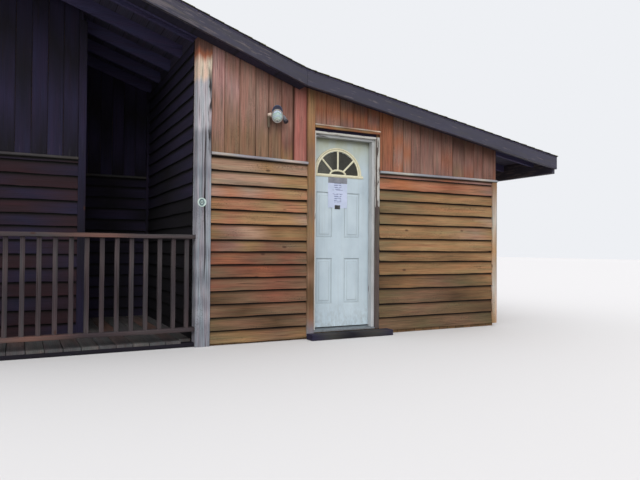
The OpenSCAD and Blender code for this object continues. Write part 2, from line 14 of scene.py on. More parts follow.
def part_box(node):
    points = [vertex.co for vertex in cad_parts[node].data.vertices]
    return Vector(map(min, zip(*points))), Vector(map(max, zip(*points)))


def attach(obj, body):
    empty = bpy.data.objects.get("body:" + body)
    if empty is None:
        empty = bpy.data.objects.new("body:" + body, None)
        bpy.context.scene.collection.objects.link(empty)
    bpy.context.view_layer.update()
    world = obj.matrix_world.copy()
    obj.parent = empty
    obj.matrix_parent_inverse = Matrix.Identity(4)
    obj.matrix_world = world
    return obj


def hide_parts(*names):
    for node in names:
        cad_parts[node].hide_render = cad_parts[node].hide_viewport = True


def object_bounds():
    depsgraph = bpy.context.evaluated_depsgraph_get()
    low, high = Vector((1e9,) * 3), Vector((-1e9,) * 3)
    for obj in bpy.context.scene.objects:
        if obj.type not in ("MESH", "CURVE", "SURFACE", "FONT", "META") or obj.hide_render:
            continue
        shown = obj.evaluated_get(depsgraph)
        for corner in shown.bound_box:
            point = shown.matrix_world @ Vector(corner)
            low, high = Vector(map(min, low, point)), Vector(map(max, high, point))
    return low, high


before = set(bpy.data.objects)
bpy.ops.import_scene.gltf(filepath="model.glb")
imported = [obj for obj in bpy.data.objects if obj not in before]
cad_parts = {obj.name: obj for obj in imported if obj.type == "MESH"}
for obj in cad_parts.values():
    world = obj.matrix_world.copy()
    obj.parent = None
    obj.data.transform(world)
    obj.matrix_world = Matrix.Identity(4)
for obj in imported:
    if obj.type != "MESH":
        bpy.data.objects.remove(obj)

bl_info = {
    "name": "Weathered Outhouse",
    "version": (1, 0, 0),
    "blender": (4, 5, 0),
    "location": "3D View > Sidebar > Outhouse",
    "description": "Builds the boards, shingles, door and lamp of a weathered wooden outhouse",
    "category": "Add Mesh",
}

CAD_BOX = [list(corner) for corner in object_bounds()]
ORIGIN = np.array([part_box("corner_post")[0].x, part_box("front_boards_left")[0].y, 0.0])
TAU = 2 * math.pi


def plan_box(node):
    """Lowest and highest corner of a CAD node in plan metres."""
    low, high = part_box(node)
    return np.array(low) - ORIGIN, np.array(high) - ORIGIN


def linear(code):
    """Turns an sRGB hex code to a linear colour with alpha."""
    channels = np.array([int(code[i:i + 2], 16) / 255 for i in (1, 3, 5)])
    curve = np.where(channels <= 0.04045, channels / 12.92, ((channels + 0.055) / 1.055) ** 2.4)
    return (*curve.tolist(), 1.0)


# Stains and weathering tones of the boards, as they show in flat daylight
TONES = {
    "tan": "#ad907b", "straw": "#a88762", "rose": "#aa8c7c", "coral": "#ad7a5f",
    "sienna": "#ae7450", "saddle": "#9c7b57", "nut": "#8a6b4b", "umber": "#80644f",
    "brick": "#865947", "olive": "#867355", "moss": "#6c5d43", "rust": "#9a644a",
    "bark": "#5f4832", "mauve": "#a5827d", "clay": "#906f63", "plum": "#7f5f56",
    "dusk": "#664a42", "crimson": "#9e655c", "honey": "#a07856", "loam": "#745247",
    "slate": "#7d7f88", "ash": "#8d8f97", "silver": "#b2b2b9", "cream": "#dcc7b4", "ember": "#9c6046",
    "bone": "#b5aca3", "butter": "#e6e1c4", "night": "#25203a", "soot": "#110d19",
    "char": "#3a3937", "felt": "#3c3c3f", "slab": "#4b4a4c", "pebble": "#565453",
    "navy": "#2f4565", "mist": "#a5c2bf", "frost": "#d3e3d8", "enamel": "#c5d4db",
    "film": "#a9ab84", "barge": "#3c3a4a", "jamb": "#bdbfc0", "bead": "#c9c6bf",
    "sheet": "#ccd3ea", "pane": "#15150f", "soffit": "#29263a", "rafter": "#4e4a70",
    "deck": "#464358", "block": "#3d394e", "wine": "#321e26", "pitch": "#0a070e",
    "peat": "#383135", "moor": "#453e40",
}


class BoardTones(bpy.types.PropertyGroup):
    """Stains, paints and weathering tones"""
    __annotations__ = {key: bpy.props.FloatVectorProperty(
        name=key.title(), subtype="COLOR", size=3, min=0.0, max=1.0,
        default=linear(code)[:3], description="The tone called " + key)
        for key, code in TONES.items()}


def tint(name):
    """One named tone as a colour for a shader's socket."""
    return (*getattr(bpy.context.scene.outhouse_tones, name), 1.0)


def tone_run(names, share):
    """Blends the named tones along a share from 0 to 1, each name at an even step."""
    stops = np.array([tint(name)[:3] for name in names.split()])
    at = np.clip(share, 0, 1) * (len(stops) - 1)
    return np.stack([np.interp(at, np.arange(len(stops)), stops[:, c]) for c in range(3)], -1)


def wander(seed, *coords):
    """Smooth noise about zero: a sum of sines along seeded directions, each one and a half
    times as quick as the last and weaker in step."""
    rng = np.random.default_rng(seed)
    total = 0.0
    for k in range(5):
        turn = rng.normal(size=len(coords))
        turn *= 1.55 ** k / np.linalg.norm(turn)
        phase = rng.uniform(0, TAU)
        total = total + np.sin(sum(t * c for t, c in zip(turn, coords)) + phase) / 1.35 ** k
    return total / 2.0


def smooth(low, high, value):
    """Rises smoothly from 0 at low to 1 at high."""
    t = np.clip((value - low) / (high - low), 0, 1)
    return t * t * (3 - 2 * t)


def size(name, default, description, unit="LENGTH"):
    """A size that the panel can set, or a row of them; a length is in metres."""
    row = {"size": len(default)} if isinstance(default, tuple) else {}
    kind = bpy.props.FloatVectorProperty if row else bpy.props.FloatProperty
    return kind(name=name, default=default, unit=unit, description=description, **row)


class RoofSizes(bpy.types.PropertyGroup):
    """Driving sizes of the roof"""
    break_x: size("Break", 1.060, "Distance of the line between the pitches from the corner post")
    break_top: size("Break height", 2.738, "Height of the roof surface where the pitches meet")
    pitch_up: size("Upper pitch", 0.333, "Rise of the upper pitch for each unit across", "NONE")
    pitch_low: size("Lower pitch", 0.165, "Rise of the lower pitch for each unit across", "NONE")
    course: size("Course", 0.143, "Exposed depth of one course of shingles")
    tab: size("Tab", 0.305, "Width of one shingle tab")
    shingle_t: size("Shingle", 0.0055, "Thickness of one shingle")
    deck_depth: size("Deck foot", 0.0303, "Depth of the roof boards' underside below the roof surface")
    rafter_depth: size("Upper rafter foot", 0.1613,
                       "Depth of the upper rafters' underside below the surface")
    low_depth: size("Lower rafter foot", 0.1153,
                    "Depth of the lower rafters' underside below the surface")


class CladdingSizes(bpy.types.PropertyGroup):
    """Driving sizes of the lap boards and the vertical boards"""
    lap_left: size("Left lap", 0.129, "Exposed height of a lap board left of the door")
    lap: size("Lap", 0.139, "Exposed height of a lap board elsewhere")
    base_left: size("Left base", 0.018, "Height of the lowest board's foot left of the door")
    base: size("Base", 0.035, "Height of the lowest board's foot elsewhere")
    seen_left: size("Left lines", (0.902, 1.015, 1.169, 1.305, 1.429, 1.547, 1.683, 1.813),
                    "Heights of the uneven board feet seen left of the door")
    seen_right: size("Right lines",
                     (0.330, 0.500, 0.649, 0.801, 0.916, 1.055, 1.213, 1.337, 1.480, 1.600, 1.734),
                     "Heights of the uneven board feet seen right of the door")
    seen_wing: size("Wing lines", (1.140, 1.264, 1.398, 1.522, 1.650, 1.778),
                    "Heights of the uneven board feet seen on the wing")
    butt: size("Butt", 0.014, "How far a board's lower edge stands out")
    head: size("Head", 0.005, "How far a board's upper edge lies behind the trim plane")
    depth: size("Depth", 0.020, "Depth of the cladding behind the trim plane")
    trim: size("Trim", 0.018, "Thickness of a flat trim board")
    gap: size("Gap", 0.002, "Gap between two vertical boards")
    nose: size("Nose", 0.003, "Rounding of a sawn edge")
    frieze_out: size("Frieze", 0.006, "How far the flat board under the right drip rail stands out")


class DoorSizes(bpy.types.PropertyGroup):
    """Driving sizes of the door leaf"""
    panel_w: size("Panel width", 0.195, "Width of a raised panel")
    panel_x: size("Panel offset", 0.074, "Distance of a panel from the line midway between the panels")
    panel_shift: size("Panel shift", 0.010,
                      "How far the panels sit to the right of the door's centre line")
    panel_foot: size("Panel foot", 0.240, "Height of the lower panels above the leaf's lower edge")
    lock_rail: size("Lock rail", 0.218, "Plain band between the lower and upper panels")
    panel_gap: size("Panel gap", 0.184, "Plain band between the upper panels and the fanlight")
    groove: size("Groove", 0.008, "Depth of the moulded groove round a panel")
    fan_r: size("Fanlight", 0.255, "Radius of the fanlight's opening")
    spoke_w: size("Spoke", 0.020, "Width of a fanlight bar")
    fan_raise: size("Window foot", 0.010, "Height of the window's straight foot above the opening's")
    fan_lip: size("Lip", 0.005, "How far the frame covers the glass inside the opening")
    hub_w: size("Hub width", 0.103, "Half width of the oval hub")
    hub_h: size("Hub height", 0.055, "Height of the oval hub")


class LampSizes(bpy.types.PropertyGroup):
    """Driving sizes of the wall lamp"""
    at_x: size("Place", 0.779, "Distance of the lens from the left corner")
    at_z: size("Height", 2.243, "Height of the lens above the ground")
    out: size("Reach", 0.100, "How far the lens stands out from the wall")
    lens_r: size("Lens", 0.062, "Radius of the lens")
    bell_l: size("Bell", 0.066, "Length of the bell behind the lens")
    tilt: size("Tilt", math.radians(13), "How far the lens looks down", "ROTATION")
    turn: size("Turn", math.radians(-23), "How far the lens looks to the left", "ROTATION")
    hood_r: size("Hood", 0.056, "Radius of the hood over the lens")
    hood_up: size("Hood height", 0.042, "Height of the hood's axis over the lens's")


def sizes(group):
    """One group of the sizes that the panel shows."""
    return getattr(bpy.context.scene, "outhouse_" + group)


def roof_top(x):
    """Height of the roof surface over x: a line of one pitch up to the break, then the other."""
    r = sizes("roof")
    return np.where(np.asarray(x) < r.break_x, r.break_top + r.pitch_up * (r.break_x - x),
                    r.break_top - r.pitch_low * (x - r.break_x))


def roof_reach(z, depth):
    """The x at which the roof's line, taken down by a depth, comes down to a height z."""
    r = sizes("roof")
    over = z + depth - r.break_top
    return np.where(over > 0, r.break_x - over / r.pitch_up, r.break_x - over / r.pitch_low)


# Making meshes

class Stock:
    """Pieces of timber gathered into one mesh, with the attributes that the finishes read:
    grain (along, across and through the wood in metres), tone and wear."""

    def __init__(self):
        self.points, self.quads, self.caps = [], [], []
        self.grain, self.tone, self.wear = [], [], []
        self.count = 0

    def add(self, points, quads, caps, grain, tone, wear):
        """Takes one closed shape, and turns its faces outward where its volume is negative."""
        corner = [points[quads[:, i]] for i in range(4)]
        volume = (corner[0] * (np.cross(corner[1], corner[2])
                               + np.cross(corner[2], corner[3]))).sum()
        for cap in caps:
            ring = points[cap]
            volume += (ring[0] * np.cross(ring[1:-1], ring[2:])).sum()
        if volume < 0:
            quads = quads[:, ::-1]
            caps = [cap[::-1] for cap in caps]
        self.points.append(points)
        self.quads.append(quads + self.count)
        self.caps += [(cap + self.count).tolist() for cap in caps]
        self.grain.append(grain)
        self.tone.append(np.broadcast_to(tone, points.shape))
        self.wear.append(np.broadcast_to(wear, len(points)))
        self.count += len(points)

    def make(self, name, look, slot, *stands_for, body="house", angle=40):
        """Puts the gathered shapes into one object that rides on a body."""
        points = np.clip(np.concatenate(self.points) + ORIGIN, *CAD_BOX)
        faces = np.concatenate(self.quads).tolist() + self.caps
        mesh = bpy.data.meshes.new(name)
        mesh.from_pydata(points, [], faces)
        tones = np.concatenate(self.tone)
        for key, kind, field, values in (
                ("grain", "FLOAT_VECTOR", "vector", np.concatenate(self.grain)),
                ("tone", "FLOAT_COLOR", "color", np.insert(tones, 3, 1.0, axis=1)),
                ("wear", "FLOAT", "value", np.concatenate(self.wear))):
            layer = mesh.attributes.new(key, kind, "POINT")
            layer.data.foreach_set(field, values.astype(np.float32).ravel())
        mesh.shade_smooth()
        mesh.set_sharp_from_angle(angle=math.radians(angle))
        mesh.materials.append(finish(look))
        made = bpy.data.objects.new(name, mesh)
        bpy.context.scene.collection.objects.link(made)
        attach(made, body)
        if stands_for:
            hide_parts(*stands_for)
        return made


def grid_faces(number):
    """The four corners of each cell of a grid of vertex numbers, in a ring."""
    return number[:-1, :-1], number[1:, :-1], number[1:, 1:], number[:-1, 1:]


def loop_faces(rings, around):
    """Quads between the rings of a closed tube, and the two rings that close its ends."""
    i, j = np.meshgrid(np.arange(rings - 1), np.arange(around), indexing="ij")
    a = i * around + j
    b = i * around + (j + 1) % around
    quads = np.stack([a, b, b + around, a + around], -1).reshape(-1, 4)
    first = np.arange(around)
    return quads, [first[::-1], first + (rings - 1) * around]


def carry(stock, profile, place, ends, steps, tones, seed, relief=None, wear=0.0, dim=1.0,
          drift=0.05):
    """A closed profile of across and out values carried along the wood. The along value of
    each profile point runs straight from its start to its end, so an end may be cut at a
    slant; place turns along, across and out to plan metres; dim darkens the tone at each
    profile point, blue more than red; drift is how far a tone strays along the wood."""
    around = len(profile)
    share = np.linspace(0, 1, steps)[:, None]
    starts = np.broadcast_to(ends[0], around)
    stops = np.broadcast_to(ends[1], around)
    along = starts * (1 - share) + stops * share
    across = np.broadcast_to(profile[:, 0], along.shape).copy()
    out = np.broadcast_to(profile[:, 1], along.shape).copy()
    worn = np.zeros_like(along) + wear
    if relief is not None:
        across, out, worn = relief(along, across, out, worn)
    points = np.stack(place(along, across, out), -1).reshape(-1, 3)
    shift = seed * np.array([1.37, 0.61, 0.23])
    grain = np.stack([along, across, out], -1).reshape(-1, 3) + shift
    run = share + drift * wander(seed + 5, along * 5, across * 30)
    shade = np.broadcast_to(dim, along.shape)[..., None] ** np.array([1, 1.12, 1.3])
    tone = (tone_run(tones, run) * shade).reshape(-1, 3)
    quads, caps = loop_faces(steps, around)
    stock.add(points, quads, caps, grain, tone, worn.ravel())


def eased(corners, radius, spacing):
    """An outline with its corners eased: each corner gives way to a short curve between the
    points a radius before and after it, and each side is filled at the spacing."""
    corners = np.asarray(corners, float)
    points = []
    for before, here, after in zip(np.roll(corners, 1, 0), corners, np.roll(corners, -1, 0)):
        enter = here + (before - here) * min(radius / np.linalg.norm(before - here), 0.45)
        leave = here + (after - here) * min(radius / np.linalg.norm(after - here), 0.45)
        share = np.array([0, 0.5, 1.0])[:, None]
        curve = enter * (1 - share) ** 2 + 2 * here * share * (1 - share) + leave * share ** 2
        points.append(curve)
    filled = []
    for curve, following in zip(points, points[1:] + points[:1]):
        filled.append(curve)
        count = int(np.linalg.norm(following[0] - curve[-1]) / spacing)
        between = np.linspace(0, 1, count + 2)[1:-1, None]
        filled.append(curve[-1] * (1 - between) + following[0] * between)
    return np.concatenate(filled)


def rounded(low_c, high_c, low_o, high_o, radius, spacing):
    """A rectangle with eased corners."""
    return eased([(high_c, high_o), (low_c, high_o), (low_c, low_o), (high_c, low_o)], radius,
                 spacing)


def rough_sawn(seed, wave):
    """Relief of sawn wood: its faces and edges wander by a millimetre or so."""
    def relief(along, across, out, worn):
        across = across + wave * wander(seed, along * 7)
        out = out + wave * wander(seed + 1, along * 6, across * 12)
        return across, out, worn
    return relief


def on_wall(side, plane, foot):
    """A place on a wall: along it, up from a foot, and out from its trim plane."""
    out = 1 if side in ("back", "right") else -1
    if side in ("front", "back"):
        return lambda a, c, o: (a, plane + out * o, foot + c)
    return lambda a, c, o: (plane + out * o, a, foot + c)


def upright(y0):
    """Along is up, across is along the front, and out is towards the viewer."""
    return lambda a, c, o: (c, y0 - o, a)


def lap_profile(step, height):
    """Section of one lap board: a rounded nose at its foot, a face that slopes back up the
    wall, a head that runs up behind the next board, and a flat back. With it comes how dark
    each point is: the underside and the strip below the next board stay wet and go black."""
    k = sizes("cladding")
    top = min(step + 0.012, height)
    reach = min(step, height)
    nose = min(k.nose, top / 3)
    up = np.array([0, 0.02, 0.05, reach - 0.044, reach - 0.030, reach - 0.019, reach - 0.012,
                   reach - 0.001, top])
    up = np.unique(np.clip(up, nose, top).round(5))
    face = k.butt - (k.butt + k.head) * up / step
    dark = np.interp(reach - up, [0, 0.012, 0.019, 0.030, 0.044], [0.02, 0.05, 0.42, 0.8, 1])
    back = 0.001 - k.depth
    profile = np.array([[0.0, back], [0.0, k.butt - nose], [nose * 0.3, k.butt - nose * 0.3],
                        *zip(up, face), [top, back]])
    return profile, np.array([0.04, 0.05, 0.4, *dark, 0.1])


def lap_relief(seed, step):
    """A lap board's butt wanders up and down and its face bows in and out along its length."""
    def relief(along, across, out, worn):
        low = 1 - smooth(0, step, across)
        across = across + low * 0.0030 * wander(seed, along * 4.5)
        out = out + 0.0016 * low * wander(seed + 1, along * 3.1)
        worn = worn + 0.5 * smooth(0.1, 0.9, wander(seed + 2, along * 2.3, across * 9))
        return across, out, worn
    return relief


STAINED = ("tan straw tan rose tan", "nut saddle straw saddle nut", "saddle tan coral saddle",
           "olive saddle nut saddle", "clay umber clay nut", "straw tan saddle olive tan",
           "olive saddle umber saddle", "umber nut umber saddle")
SHADED = ("night night soot night", "soot night soot night", "night soot night",
          "soot night night soot")


def lap_wall(stock, side, plane, run, base, top, step, seed, recipes, tones=(), depth=None,
             seen=None):
    """Lap boards one above the other from base to top, at an even step or at the feet that
    are seen. Where a depth is given, the wall runs up under the sloping roof, and each board
    is cut off at a slant where it meets it. A board is at most longest metres long."""
    longest, shortest, joint = 3.4, 0.008, 0.0006
    rng = np.random.default_rng(seed)
    feet = base + step * np.arange(math.ceil((top - base) / step - 0.001))
    if seen is not None:
        below = np.linspace(base, seen[0], round((seen[0] - base) / step), endpoint=False)
        feet = np.concatenate([below, seen])
    count = len(feet)
    rises = np.append(np.diff(feet), step)
    for k, (foot, rise) in enumerate(zip(feet.tolist(), rises.tolist())):
        lengths = math.ceil((run[1] - run[0]) / longest)
        cuts = (np.arange(1, lengths) + rng.uniform(-0.35, 0.35, lengths - 1)) / lengths
        stops = [run[0], *(run[0] + (run[1] - run[0]) * cuts), run[1]]
        recipe = tones[count - 1 - k] if count - 1 - k < len(tones) else None
        for start, stop in zip(stops[:-1], stops[1:]):
            height = top - foot
            if depth is not None:
                height = min(height, float(roof_top(start)) - depth - foot)
            if height < shortest:
                continue
            profile, dark = lap_profile(rise, height)
            dark = dark * rng.uniform(0.74, 0.84)
            ends = np.full(len(profile), stop - joint)
            if depth is not None:
                reach = roof_reach(foot + profile[:, 0], depth)
                ends = np.clip(np.minimum(ends, reach), start + 0.001, None)
            code = seed * 100 + k * 3 + int(start * 7) % 3
            steps = max(3, int((ends.max() - start) / 0.045))
            carry(stock, profile, on_wall(side, plane, foot), (start, ends), steps,
                  recipe or recipes[rng.integers(len(recipes))], code,
                  relief=lap_relief(code, rise), dim=dark)


# Finishes

def add(tree, kind, *inputs, take=0, **settings):
    """Adds one node and gives the socket of its result. An operation or data type may follow
    its kind; the inputs fill or link its sockets in order, or by name from a dictionary."""
    kind, mode = (kind + " ").split(" ")[:2]
    made = tree.nodes.new("ShaderNode" + kind)
    if mode:
        setattr(made, "data_type" if kind == "Mix" else "operation", mode)
    for key, value in settings.items():
        setattr(made, key, value)
    sockets = [socket for socket in made.inputs if socket.enabled]
    named = inputs[0] if inputs and isinstance(inputs[0], dict) else dict(enumerate(inputs))
    for key, value in named.items():
        socket = made.inputs[key] if isinstance(key, str) else sockets[key]
        if isinstance(value, bpy.types.NodeSocket):
            tree.links.new(value, socket)
        else:
            socket.default_value = value
    if isinstance(take, str):
        return made.outputs[take]
    results = [socket for socket in made.outputs if socket.enabled]
    return results[take] if results else None


def finish_start(name, **sockets):
    """A material whose Principled shader has its constant values set on its sockets. With it
    come the function that adds its nodes, and the shader."""
    made = bpy.data.materials.new(name)
    made.use_nodes = True
    shader = made.node_tree.nodes["Principled BSDF"]
    for key, value in sockets.items():
        shader.inputs[key.replace("_", " ")].default_value = value
    return made, partial(add, made.node_tree), shader


def finished(made, shader, colour, relief, depth, strength=1.0, **results):
    """Links the colour, a relief of a depth in metres and other results to the shader."""
    tree = made.node_tree
    bump = add(tree, "Bump", {"Height": relief, "Distance": depth, "Strength": strength})
    for key, value in {"Base_Color": colour, "Normal": bump, **results}.items():
        tree.links.new(value, shader.inputs[key.replace("_", " ")])
    return made


def darker(colour, share):
    """A colour taken down by a share, with its alpha kept."""
    return (*(c * share for c in colour[:3]), 1.0)


def grain_space(node, axis):
    """Coordinates along, across and through the wood in metres: from the piece's own grain
    attribute, or from object space with the named axis along the wood."""
    if axis is None:
        return node("Attribute", attribute_name="grain", take="Vector")
    split = node("SeparateXYZ", node("TexCoord", take="Object")).node.outputs
    return node("CombineXYZ", *(split[key] for key in {"X": "XZY", "Y": "YXZ"}[axis]))


def mottle(node, space, scale, detail, rough):
    """Uneven colour over a space stretched by three scales, in waves per metre."""
    spread = node("VectorMath MULTIPLY", space, scale)
    return node("TexNoise", {"Vector": spread, "Scale": 1.0, "Detail": detail,
                             "Roughness": rough})


def blots(node, space, scale, detail, rough, *ends):
    """Patches with soft edges, where the mottling rises from a low level to a high one."""
    return node("MapRange", mottle(node, space, scale, detail, rough), *ends)


def wood_figure(node, space):
    """The figure of sawn wood: fibre streaks, broad patches, curved growth rings, knots and
    drying checks, each from 0 to 1. Fibres are drawn 8 mm apart, where real ones are near
    2 mm, so that they show."""
    fibre = 0.008
    fine = mottle(node, space, (5, 1 / fibre, 1 / fibre), 5, 0.6)
    broad = mottle(node, space, (1.3, 17, 6), 4, 0.55)
    bent = node("VectorMath MULTIPLY", space, (0.9, 19, 19))
    rings = node("TexWave", {"Vector": bent, "Scale": 1.0, "Distortion": 7.0, "Detail": 2.0,
                             "Detail Scale": 0.7}, bands_direction="Y", take="Fac")
    cells = node("VectorMath MULTIPLY", space, (3.4, 7.2, 0.4))
    spots = node("TexVoronoi", {"Vector": cells, "Scale": 1.0}).node.outputs
    pick = node("SeparateColor", spots["Color"])
    knot = node("Math MULTIPLY", node("MapRange", spots["Distance"], 0.05, 0.11, 1, 0),
                node("MapRange", pick, 0.60, 0.62))
    check = blots(node, space, (1.8, 95, 95), 3, 0.5, 0.66, 0.72)
    return fine, broad, rings, knot, check


def wood(name, stain=None, axis=None, streak=0.5, patch=0.6, ringed=0.18, knots=0.75,
         checks=0.6, grey="#8b8a8c", greyed=0.0, bleached=0.35, mould=0.25, relief=0.0012,
         board=0.0, cracked=0.0):
    """Sawn wood under a worn stain. Its colour is the tone attribute or one stain; streaks
    and patches lighten and darken it; knots, checks, grey weathering and mould lie over it."""
    made, node, shader = finish_start(name, Roughness=0.85, Specular_IOR_Level=0.3)
    space = grain_space(node, axis)
    fine, broad, rings, knot, check = wood_figure(node, space)
    if stain:
        colour = node("Mix RGBA", node("MapRange", broad, 0.3, 0.7), tint(stain),
                      darker(tint(stain), 0.8))
    else:
        colour = node("Attribute", attribute_name="tone", take="Color")
    shade = node("Math ADD", node("MapRange", fine, 0.25, 0.75, -streak / 2, streak / 2),
                 node("MapRange", broad, 0.25, 0.75, 1 - patch / 2, 1 + patch / 2))
    shade = node("Math ADD", shade, node("MapRange", rings, 0, 1, -ringed / 2, ringed / 2))
    if board:
        shade = node("Math MULTIPLY", shade, board_shade(node, space, board))
    colour = node("VectorMath SCALE", colour, shade)
    tinge = node("Mix RGBA", blots(node, space, (1.6, 26, 26), 4, 0.6, 0.32, 0.68),
                 (0.90, 1.03, 1.0, 1), (1.14, 0.96, 0.93, 1))
    colour = node("VectorMath MULTIPLY", colour, tinge)
    colour = node("Mix RGBA", node("Math MULTIPLY", knot, knots), colour, linear("#3d241b"))
    wear = node("Attribute", attribute_name="wear", take="Fac")
    bleach = node("Math ADD", mottle(node, space, (1.9, 44, 44), 6, 0.65),
                  node("Math MULTIPLY", wear, 0.16))
    bleach = node("MapRange", bleach, 0.70 - greyed, 0.95 - greyed * 0.9, 0, bleached)
    colour = node("Mix RGBA", bleach, colour, linear(grey))
    specks = node("Math MULTIPLY", blots(node, space, (70, 90, 90), 3, 0.6, 0.52, 0.68),
                  blots(node, space, (2.1, 6, 6), 2, 0.5, 0.50, 0.72))
    colour = node("Mix RGBA", node("Math MULTIPLY", specks, mould), colour, linear("#2c2a22"))
    colour = node("Mix RGBA", node("Math MULTIPLY", check, checks), colour, linear("#22150f"))
    if cracked:
        crack = node("MapRange", wear, 0.25, 1.2, 0, cracked)
        colour = node("Mix RGBA", crack, colour, linear("#1c1715"))
    depth = node("Math SUBTRACT", node("Math MULTIPLY", fine, 0.6), check)
    return finished(made, shader, colour, depth, relief, 0.8)


def board_shade(node, space, board):
    """How bright each board of a boarded face is, with a dark joint at its edges."""
    row = node("Math DIVIDE", node("SeparateXYZ", space, take="Y"), board)
    chance = node("TexWhiteNoise", {"W": node("Math FLOOR", row)}, noise_dimensions="1D",
                  take="Value")
    edge = node("Math PINGPONG", row, 1.0)
    edge = node("Math MINIMUM", edge, node("Math SUBTRACT", 1.0, edge))
    return node("Math MULTIPLY", node("MapRange", chance, 0, 1, 0.75, 1.15),
                node("MapRange", edge, 0.0, 0.006 / board, 0.15, 1))


def old_paint(name, paint, under, axis=None, bare=0.3, dirt="#6f7257", dirty=0.3,
              roughness=0.55):
    """Brushed paint that flakes off weathered wood along its grain: paint where a streaked
    noise is low, bare grey wood where it is high, and green-brown dirt over both."""
    made, node, shader = finish_start(name, Specular_IOR_Level=0.4)
    space = grain_space(node, axis)
    fine = mottle(node, space, (6, 170, 170), 5, 0.6)
    wear = node("Attribute", attribute_name="wear", take="Fac")
    flake = node("Math ADD", mottle(node, space, (5, 42, 42), 7, 0.62),
                 node("Math MULTIPLY", wear, 0.25))
    mask = node("MapRange", flake, 0.74 - bare * 0.5, 0.76 - bare * 0.5)
    rim = node("MapRange", flake, 0.70 - bare * 0.5, 0.745 - bare * 0.5)
    fibres = node("Mix RGBA", node("MapRange", fine, 0.3, 0.7), linear(under),
                  darker(linear(under), 0.55))
    worn = blots(node, space, (2.5, 8, 8), 4, 0.6, 0.35, 0.75)
    coat = node("Mix RGBA", worn, tint(paint), darker(tint(paint), 0.8))
    coat = node("Mix RGBA", node("Math MULTIPLY", rim, 0.25), coat, linear(under))
    colour = node("Mix RGBA", mask, coat, fibres)
    soil = blots(node, space, (3, 22, 22), 5, 0.65, 0.45, 0.8)
    colour = node("Mix RGBA", node("Math MULTIPLY", soil, dirty), colour, linear(dirt))
    height = node("Math SUBTRACT", node("Math MULTIPLY", fine, 0.3), mask)
    return finished(made, shader, colour, height, 0.001, 0.9,
                    Roughness=node("MapRange", mask, 0, 1, roughness, 0.9))


def door_enamel(name):
    """Factory enamel on pressed steel: near white, faintly blue, a soft gloss, with rain
    streaks, grime in the grooves and a green film under the head."""
    made, node, shader = finish_start(name, Roughness=0.42, Coat_Weight=0.15,
                                      Coat_Roughness=0.3)
    space = node("TexCoord", take="Object")
    cloud = blots(node, space, (5, 5, 3), 4, 0.6, 0.3, 0.75)
    colour = node("Mix RGBA", cloud, tint("enamel"), linear("#b2c2cb"))
    streaks = blots(node, space, (55, 55, 1.6), 5, 0.6, 0.55, 0.8, 0, 0.35)
    colour = node("Mix RGBA", streaks, colour, linear("#a3aaa6"))
    height = node("SeparateXYZ", space, take="Z")
    film = node("Math MULTIPLY", node("MapRange", height, 1.78, 2.10),
                blots(node, space, (9, 9, 4), 4, 0.6, 0.2, 0.6, 0.4, 1))
    colour = node("Mix RGBA", node("Math MULTIPLY", film, 0.8), colour, tint("film"))
    shadow = node("MapRange", height, 2.06, 2.135)
    colour = node("Mix RGBA", node("Math MULTIPLY", shadow, 0.8), colour, linear("#5c5640"))
    foot = node("Math MULTIPLY", node("MapRange", height, 0.42, 0.1),
                blots(node, space, (24, 24, 14), 5, 0.65, 0.42, 0.7))
    colour = node("Mix RGBA", node("Math MULTIPLY", foot, 0.55), colour, linear("#7e8076"))
    wear = node("Attribute", attribute_name="wear", take="Fac")
    colour = node("Mix RGBA", node("Math MULTIPLY", wear, 0.55), colour, linear("#838c8c"))
    # Pressed wood grain, drawn at 5 mm where the real emboss is near 1 mm
    emboss = mottle(node, space, (210, 210, 9), 3, 0.5)
    return finished(made, shader, colour, emboss, 0.0006, 0.35)


def aged_plastic(name, dirty, roughness, amount, scale):
    """Moulded plastic or paint over metal in the colour of the tone attribute, that has
    chalked and gathered grime in patches."""
    made, node, shader = finish_start(name, Roughness=roughness)
    space = node("TexCoord", take="Object")
    base = node("Attribute", attribute_name="tone", take="Color")
    patch = blots(node, space, (scale,) * 3, 6, 0.65, 0.35, 0.75, 0, amount)
    grit = mottle(node, space, (260, 260, 260), 3, 0.6)
    colour = node("Mix RGBA", patch, base, linear(dirty))
    pits = node("MapRange", grit, 0.58, 0.72, 0, 0.3)
    colour = node("Mix RGBA", pits, colour, linear(dirty))
    return finished(made, shader, colour, grit, 0.0004, 0.5)


def dark_glass(name):
    """Obscured glass over a dark room: nearly black green, glossy, pressed with a fine
    diamond lattice whose ridges catch the light, most of all in the left pane."""
    made, node, shader = finish_start(name, Roughness=0.12, IOR=1.52, Specular_IOR_Level=0.35)
    low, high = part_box("door_slab")
    middle = (low.x + high.x) / 2
    space = node("TexCoord", take="Object")
    split = node("SeparateXYZ", space).node.outputs
    ridges = []
    for turn in ("ADD", "SUBTRACT"):
        line = node("Math " + turn, split["X"], split["Z"])
        wave = node("Math PINGPONG", node("Math MULTIPLY", line, 1 / 0.016), 0.5)
        ridges.append(node("MapRange", wave, 0.10, 0.17, 1, 0))
    lattice = node("Math MAXIMUM", *ridges)
    haze = blots(node, space, (14, 14, 14), 4, 0.6, 0.3, 0.75)
    left = node("MapRange", split["X"], middle - 0.14, middle - 0.04, 0.6, 0.2)
    colour = node("Mix RGBA", haze, tint("pane"), linear("#241f17"))
    colour = node("Mix RGBA", node("Math MULTIPLY", lattice, left), colour, linear("#8b8c80"))
    return finished(made, shader, colour, lattice, 0.0012)


